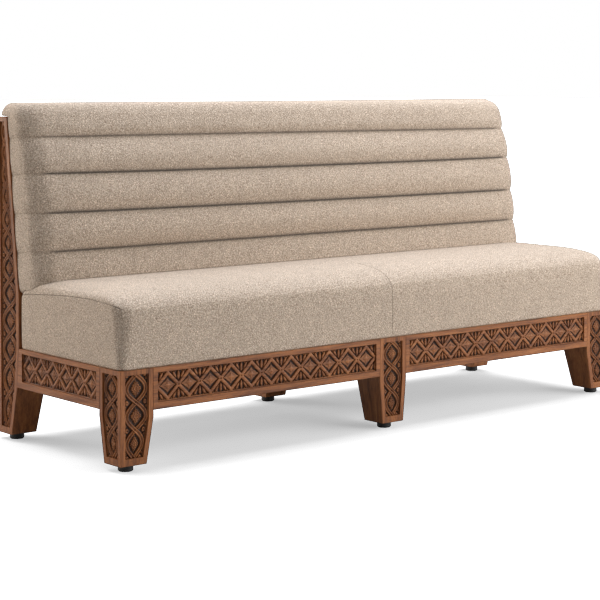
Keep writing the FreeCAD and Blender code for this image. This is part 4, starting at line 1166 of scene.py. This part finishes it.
for end, shift in (("left", 0.0), ("centre", 0.37), ("right", 0.74)):
    assign(timber("walnut_leg_" + end, "z", (shift, 0.2, shift), WALNUT, 0.45), "front_leg_" + end)
    assign(timber("carved_leg_" + end, "z", (shift, 0.5, 0.3), WALNUT, 0.5, True),
           carved_boards["leg_front_panel_" + end])
for end, shift in (("left", 0.1), ("right", 0.55)):
    assign(timber("walnut_post_" + end, "z", (shift, shift, 0), WALNUT, 0.45), "rear_post_" + end)
    assign(timber("walnut_rail_" + end, "x", (shift, 0, 0.4), WALNUT, 0.45), "front_rail_" + end)
    assign(timber("walnut_side_rail_" + end, "y", (shift, 0.3, 0), WALNUT, 0.45), "side_rail_" + end)
    assign(timber("carved_rail_" + end, "x", (0.2, shift, 0.1), WALNUT, 0.5, True),
           carved_boards["front_panel_" + end])
    assign(timber("carved_side_rail_" + end, "y", (shift, 0.1, 0.2), WALNUT, 0.5, True),
           carved_boards["side_panel_" + end])
    assign(timber("carved_post_" + end, "z", (0.4, shift, 0.2), WALNUT, 0.5, True),
           carved_boards["post_panel_" + end], carved_boards["leg_side_panel_" + end])
assign(timber("walnut_rear", "x", (0.3, 0.3, 0.8), WALNUT, 0.5), "rear_rail_left", "rear_rail_right")
assign(timber("walnut_rear_leg", "z", (0.9, 0.1, 0.3), WALNUT, 0.5), "rear_leg_centre")
pale_long = timber("pale_timber_long", "x", (0, 0, 0), PALE_TIMBER, 0.6)
assign(pale_long, "back_top_rail", "back_lower_rail", "seat_cleat_front_left", "seat_cleat_front_right",
       "seat_cleat_rear_left", "seat_cleat_rear_right")
assign(timber("pale_timber_deep", "y", (0, 0.4, 0), PALE_TIMBER, 0.6), "cross_rail")
assign(timber("pale_timber_upright", "z", (0.2, 0, 0), PALE_TIMBER, 0.6), "back_rib_left", "back_rib_centre",
       "back_rib_right", "corner_block_front_left", "corner_block_front_right", "corner_block_rear_left",
       "corner_block_rear_right")
assign(timber("birch_ply", "x", (0.5, 0.1, 0), PLY, 0.6), "seat_board", "back_board")
print("timber finishes given to", sum(m.name.startswith(("walnut", "carved", "pale")) for m in bpy.data.materials),
      "groups of parts")

# %% [markdown]
# The cover is a looped wool cloth in sand and stone tones. Its loops are small round nubs a few millimetres wide,
# each a little lighter or darker than its neighbours, with a softer mottle over them. One group gives the nubs'
# height and both masks in Object coordinates, so the cloth looks the same on every piece and no seam shows a jump.
# In the finish flecks choose between three wool tones, and painted shade darkens the hollows between nubs and the
# seams.

# %% The looped cloth
WOOL = ((0.0, (0.33, 0.238, 0.17)), (0.5, (0.59, 0.463, 0.353)), (1.0, (0.84, 0.7, 0.567)))
loops, given, result = new_group("looped_cloth", [("Vector", "Vector")],
                                 [("Fleck", "Float"), ("Mottle", "Float"), ("Height", "Float")])
drift = put(loops, "TexNoise", Vector=given.outputs["Vector"], Scale=120.0, Detail=2.0)
pull = put(loops, "VectorMath", {"operation": "SCALE"}, drift.outputs["Color"], Scale=0.006)
bent = put(loops, "VectorMath", {"operation": "ADD"}, given.outputs["Vector"],
           pull.outputs["Vector"]).outputs["Vector"]
nubs = put(loops, "TexVoronoi", {"feature": "SMOOTH_F1"}, Vector=bent, Scale=270.0, Smoothness=0.35, Randomness=0.95)
dome = remapped(loops, nubs.outputs["Distance"], 0.62, 0.08, soft=True)
curls = noise(loops, bent, 540.0, 3.0, 0.6)
rough = put(loops, "Mix", {"data_type": "FLOAT"}, Factor=0.35, A=dome, B=curls).outputs["Result"]
fleck = remapped(loops, noise(loops, bent, 320.0, 2.0, 0.65), 0.34, 0.66)
mottle = remapped(loops, noise(loops, given.outputs["Vector"], 24.0, 3.0, 0.6), 0.3, 0.7)
fill(loops, result, Fleck=fleck, Mottle=mottle, Height=rough)

sand_cloth, tree, shader = new_material("sand_cloth")
place = put(tree, "TexCoord")
pattern = put(tree, "Group", {"node_tree": loops}, Vector=place.outputs["Object"])
wool = toned(tree, pattern.outputs["Fleck"], WOOL)
# Painted shade: the colour darkens in the hollows between nubs and lightens a little on their tops.
hollow = remapped(tree, pattern.outputs["Height"], 0.15, 0.6, 0.66, 1.04)
patch = remapped(tree, pattern.outputs["Mottle"], 0.0, 1.0, 0.94, 1.05)
nub_shade_and_mottle = put(tree, "Math", {"operation": "MULTIPLY"}, hollow, patch)
# Painted shade: the seams and the rows beside the back's seams darken the wool to about a quarter of its tone.
seam_and_shade_numbers = put(tree, "Attribute", {"attribute_name": "seam"})
painted_seam_shade = remapped(tree, seam_and_shade_numbers.outputs["Fac"], 0.05, 0.95, 1.0, 0.26, soft=True)
mottle_and_painted_shade = put(tree, "Math", {"operation": "MULTIPLY"}, nub_shade_and_mottle.outputs["Value"], painted_seam_shade)
shade = put(tree, "VectorMath", {"operation": "SCALE"}, wool, Scale=mottle_and_painted_shade.outputs["Value"])
fill(tree, shader, Base_Color=shade.outputs["Vector"], Roughness=0.95, Specular_IOR_Level=0.12, Sheen_Weight=0.22,
     Sheen_Roughness=0.6, Sheen_Tint=(0.95, 0.9, 0.84, 1),
     Normal=bumped(tree, pattern.outputs["Height"], 0.9, 0.0022))
covered = (seat_cushion, back_cushion, outside_back)
assign(sand_cloth, *covered)
print("looped cloth on", len(covered), "pieces")

# %% [markdown]
# The dust cover is a spunbonded felt: black fibres pressed flat in a fine random mesh, slightly glossy where the
# rollers pressed them. Two noises at different scales give the fibres and the pressed spots.

# %% The dust cover's felt
def flecked(name, tones, *settings):
    """A finish whose colour runs between tones by a fine noise; gives its tree, its shader, and the noise and the
    places that it uses as well."""
    material, tree, shader = new_material(name)
    place = put(tree, "TexCoord").outputs["Object"]
    fleck = noise(tree, place, *settings)
    fill(tree, shader, Base_Color=toned(tree, fleck, tones))
    return material, tree, shader, fleck, place


FELT = ((0.3, (0.008, 0.008, 0.009)), (0.75, (0.05, 0.05, 0.052)))
felt_cloth, tree, shader, fibres, place = flecked("dust_felt", FELT, 850.0, 4.0, 0.7)
spots = put(tree, "TexVoronoi", Vector=place, Scale=420.0)
worn = remapped(tree, spots.outputs["Distance"], 0.0, 0.6, 0.6, 0.9)
fill(tree, shader, Roughness=worn, Normal=bumped(tree, fibres, 0.4, 0.0004))
assign(felt_cloth, dust_sheet)
print("felt on", dust_sheet.name)

# %% [markdown]
# The feet stand on black nylon pads with a faint moulded grain. Their stems, the tee nuts and the screws are
# bright zinc-plated steel.

# %% Feet and fixings
NYLON = ((0.0, (0.006, 0.006, 0.006)), (1.0, (0.02, 0.02, 0.021)))
ZINC = ((0.0, (0.42, 0.42, 0.4)), (1.0, (0.66, 0.66, 0.64)))

nylon, tree, shader, pebble, _ = flecked("black_nylon", NYLON, 900.0, 3.0)
fill(tree, shader, Roughness=0.42, Normal=bumped(tree, pebble, 0.2, 0.0003))

zinc, tree, shader, spangle, _ = flecked("zinc_steel", ZINC, 320.0, 4.0)
fill(tree, shader, Roughness=remapped(tree, spangle, 0.0, 1.0, 0.25, 0.45), Metallic=1.0)

for place_name in ("front_left", "front_centre", "front_right", "rear_left", "rear_centre", "rear_right"):
    assign(nylon, "glide_pad_" + place_name)
    assign(zinc, "glide_stem_" + place_name)
assign(zinc, "tee_nuts", "wood_screws")
print("feet and fixings finished")
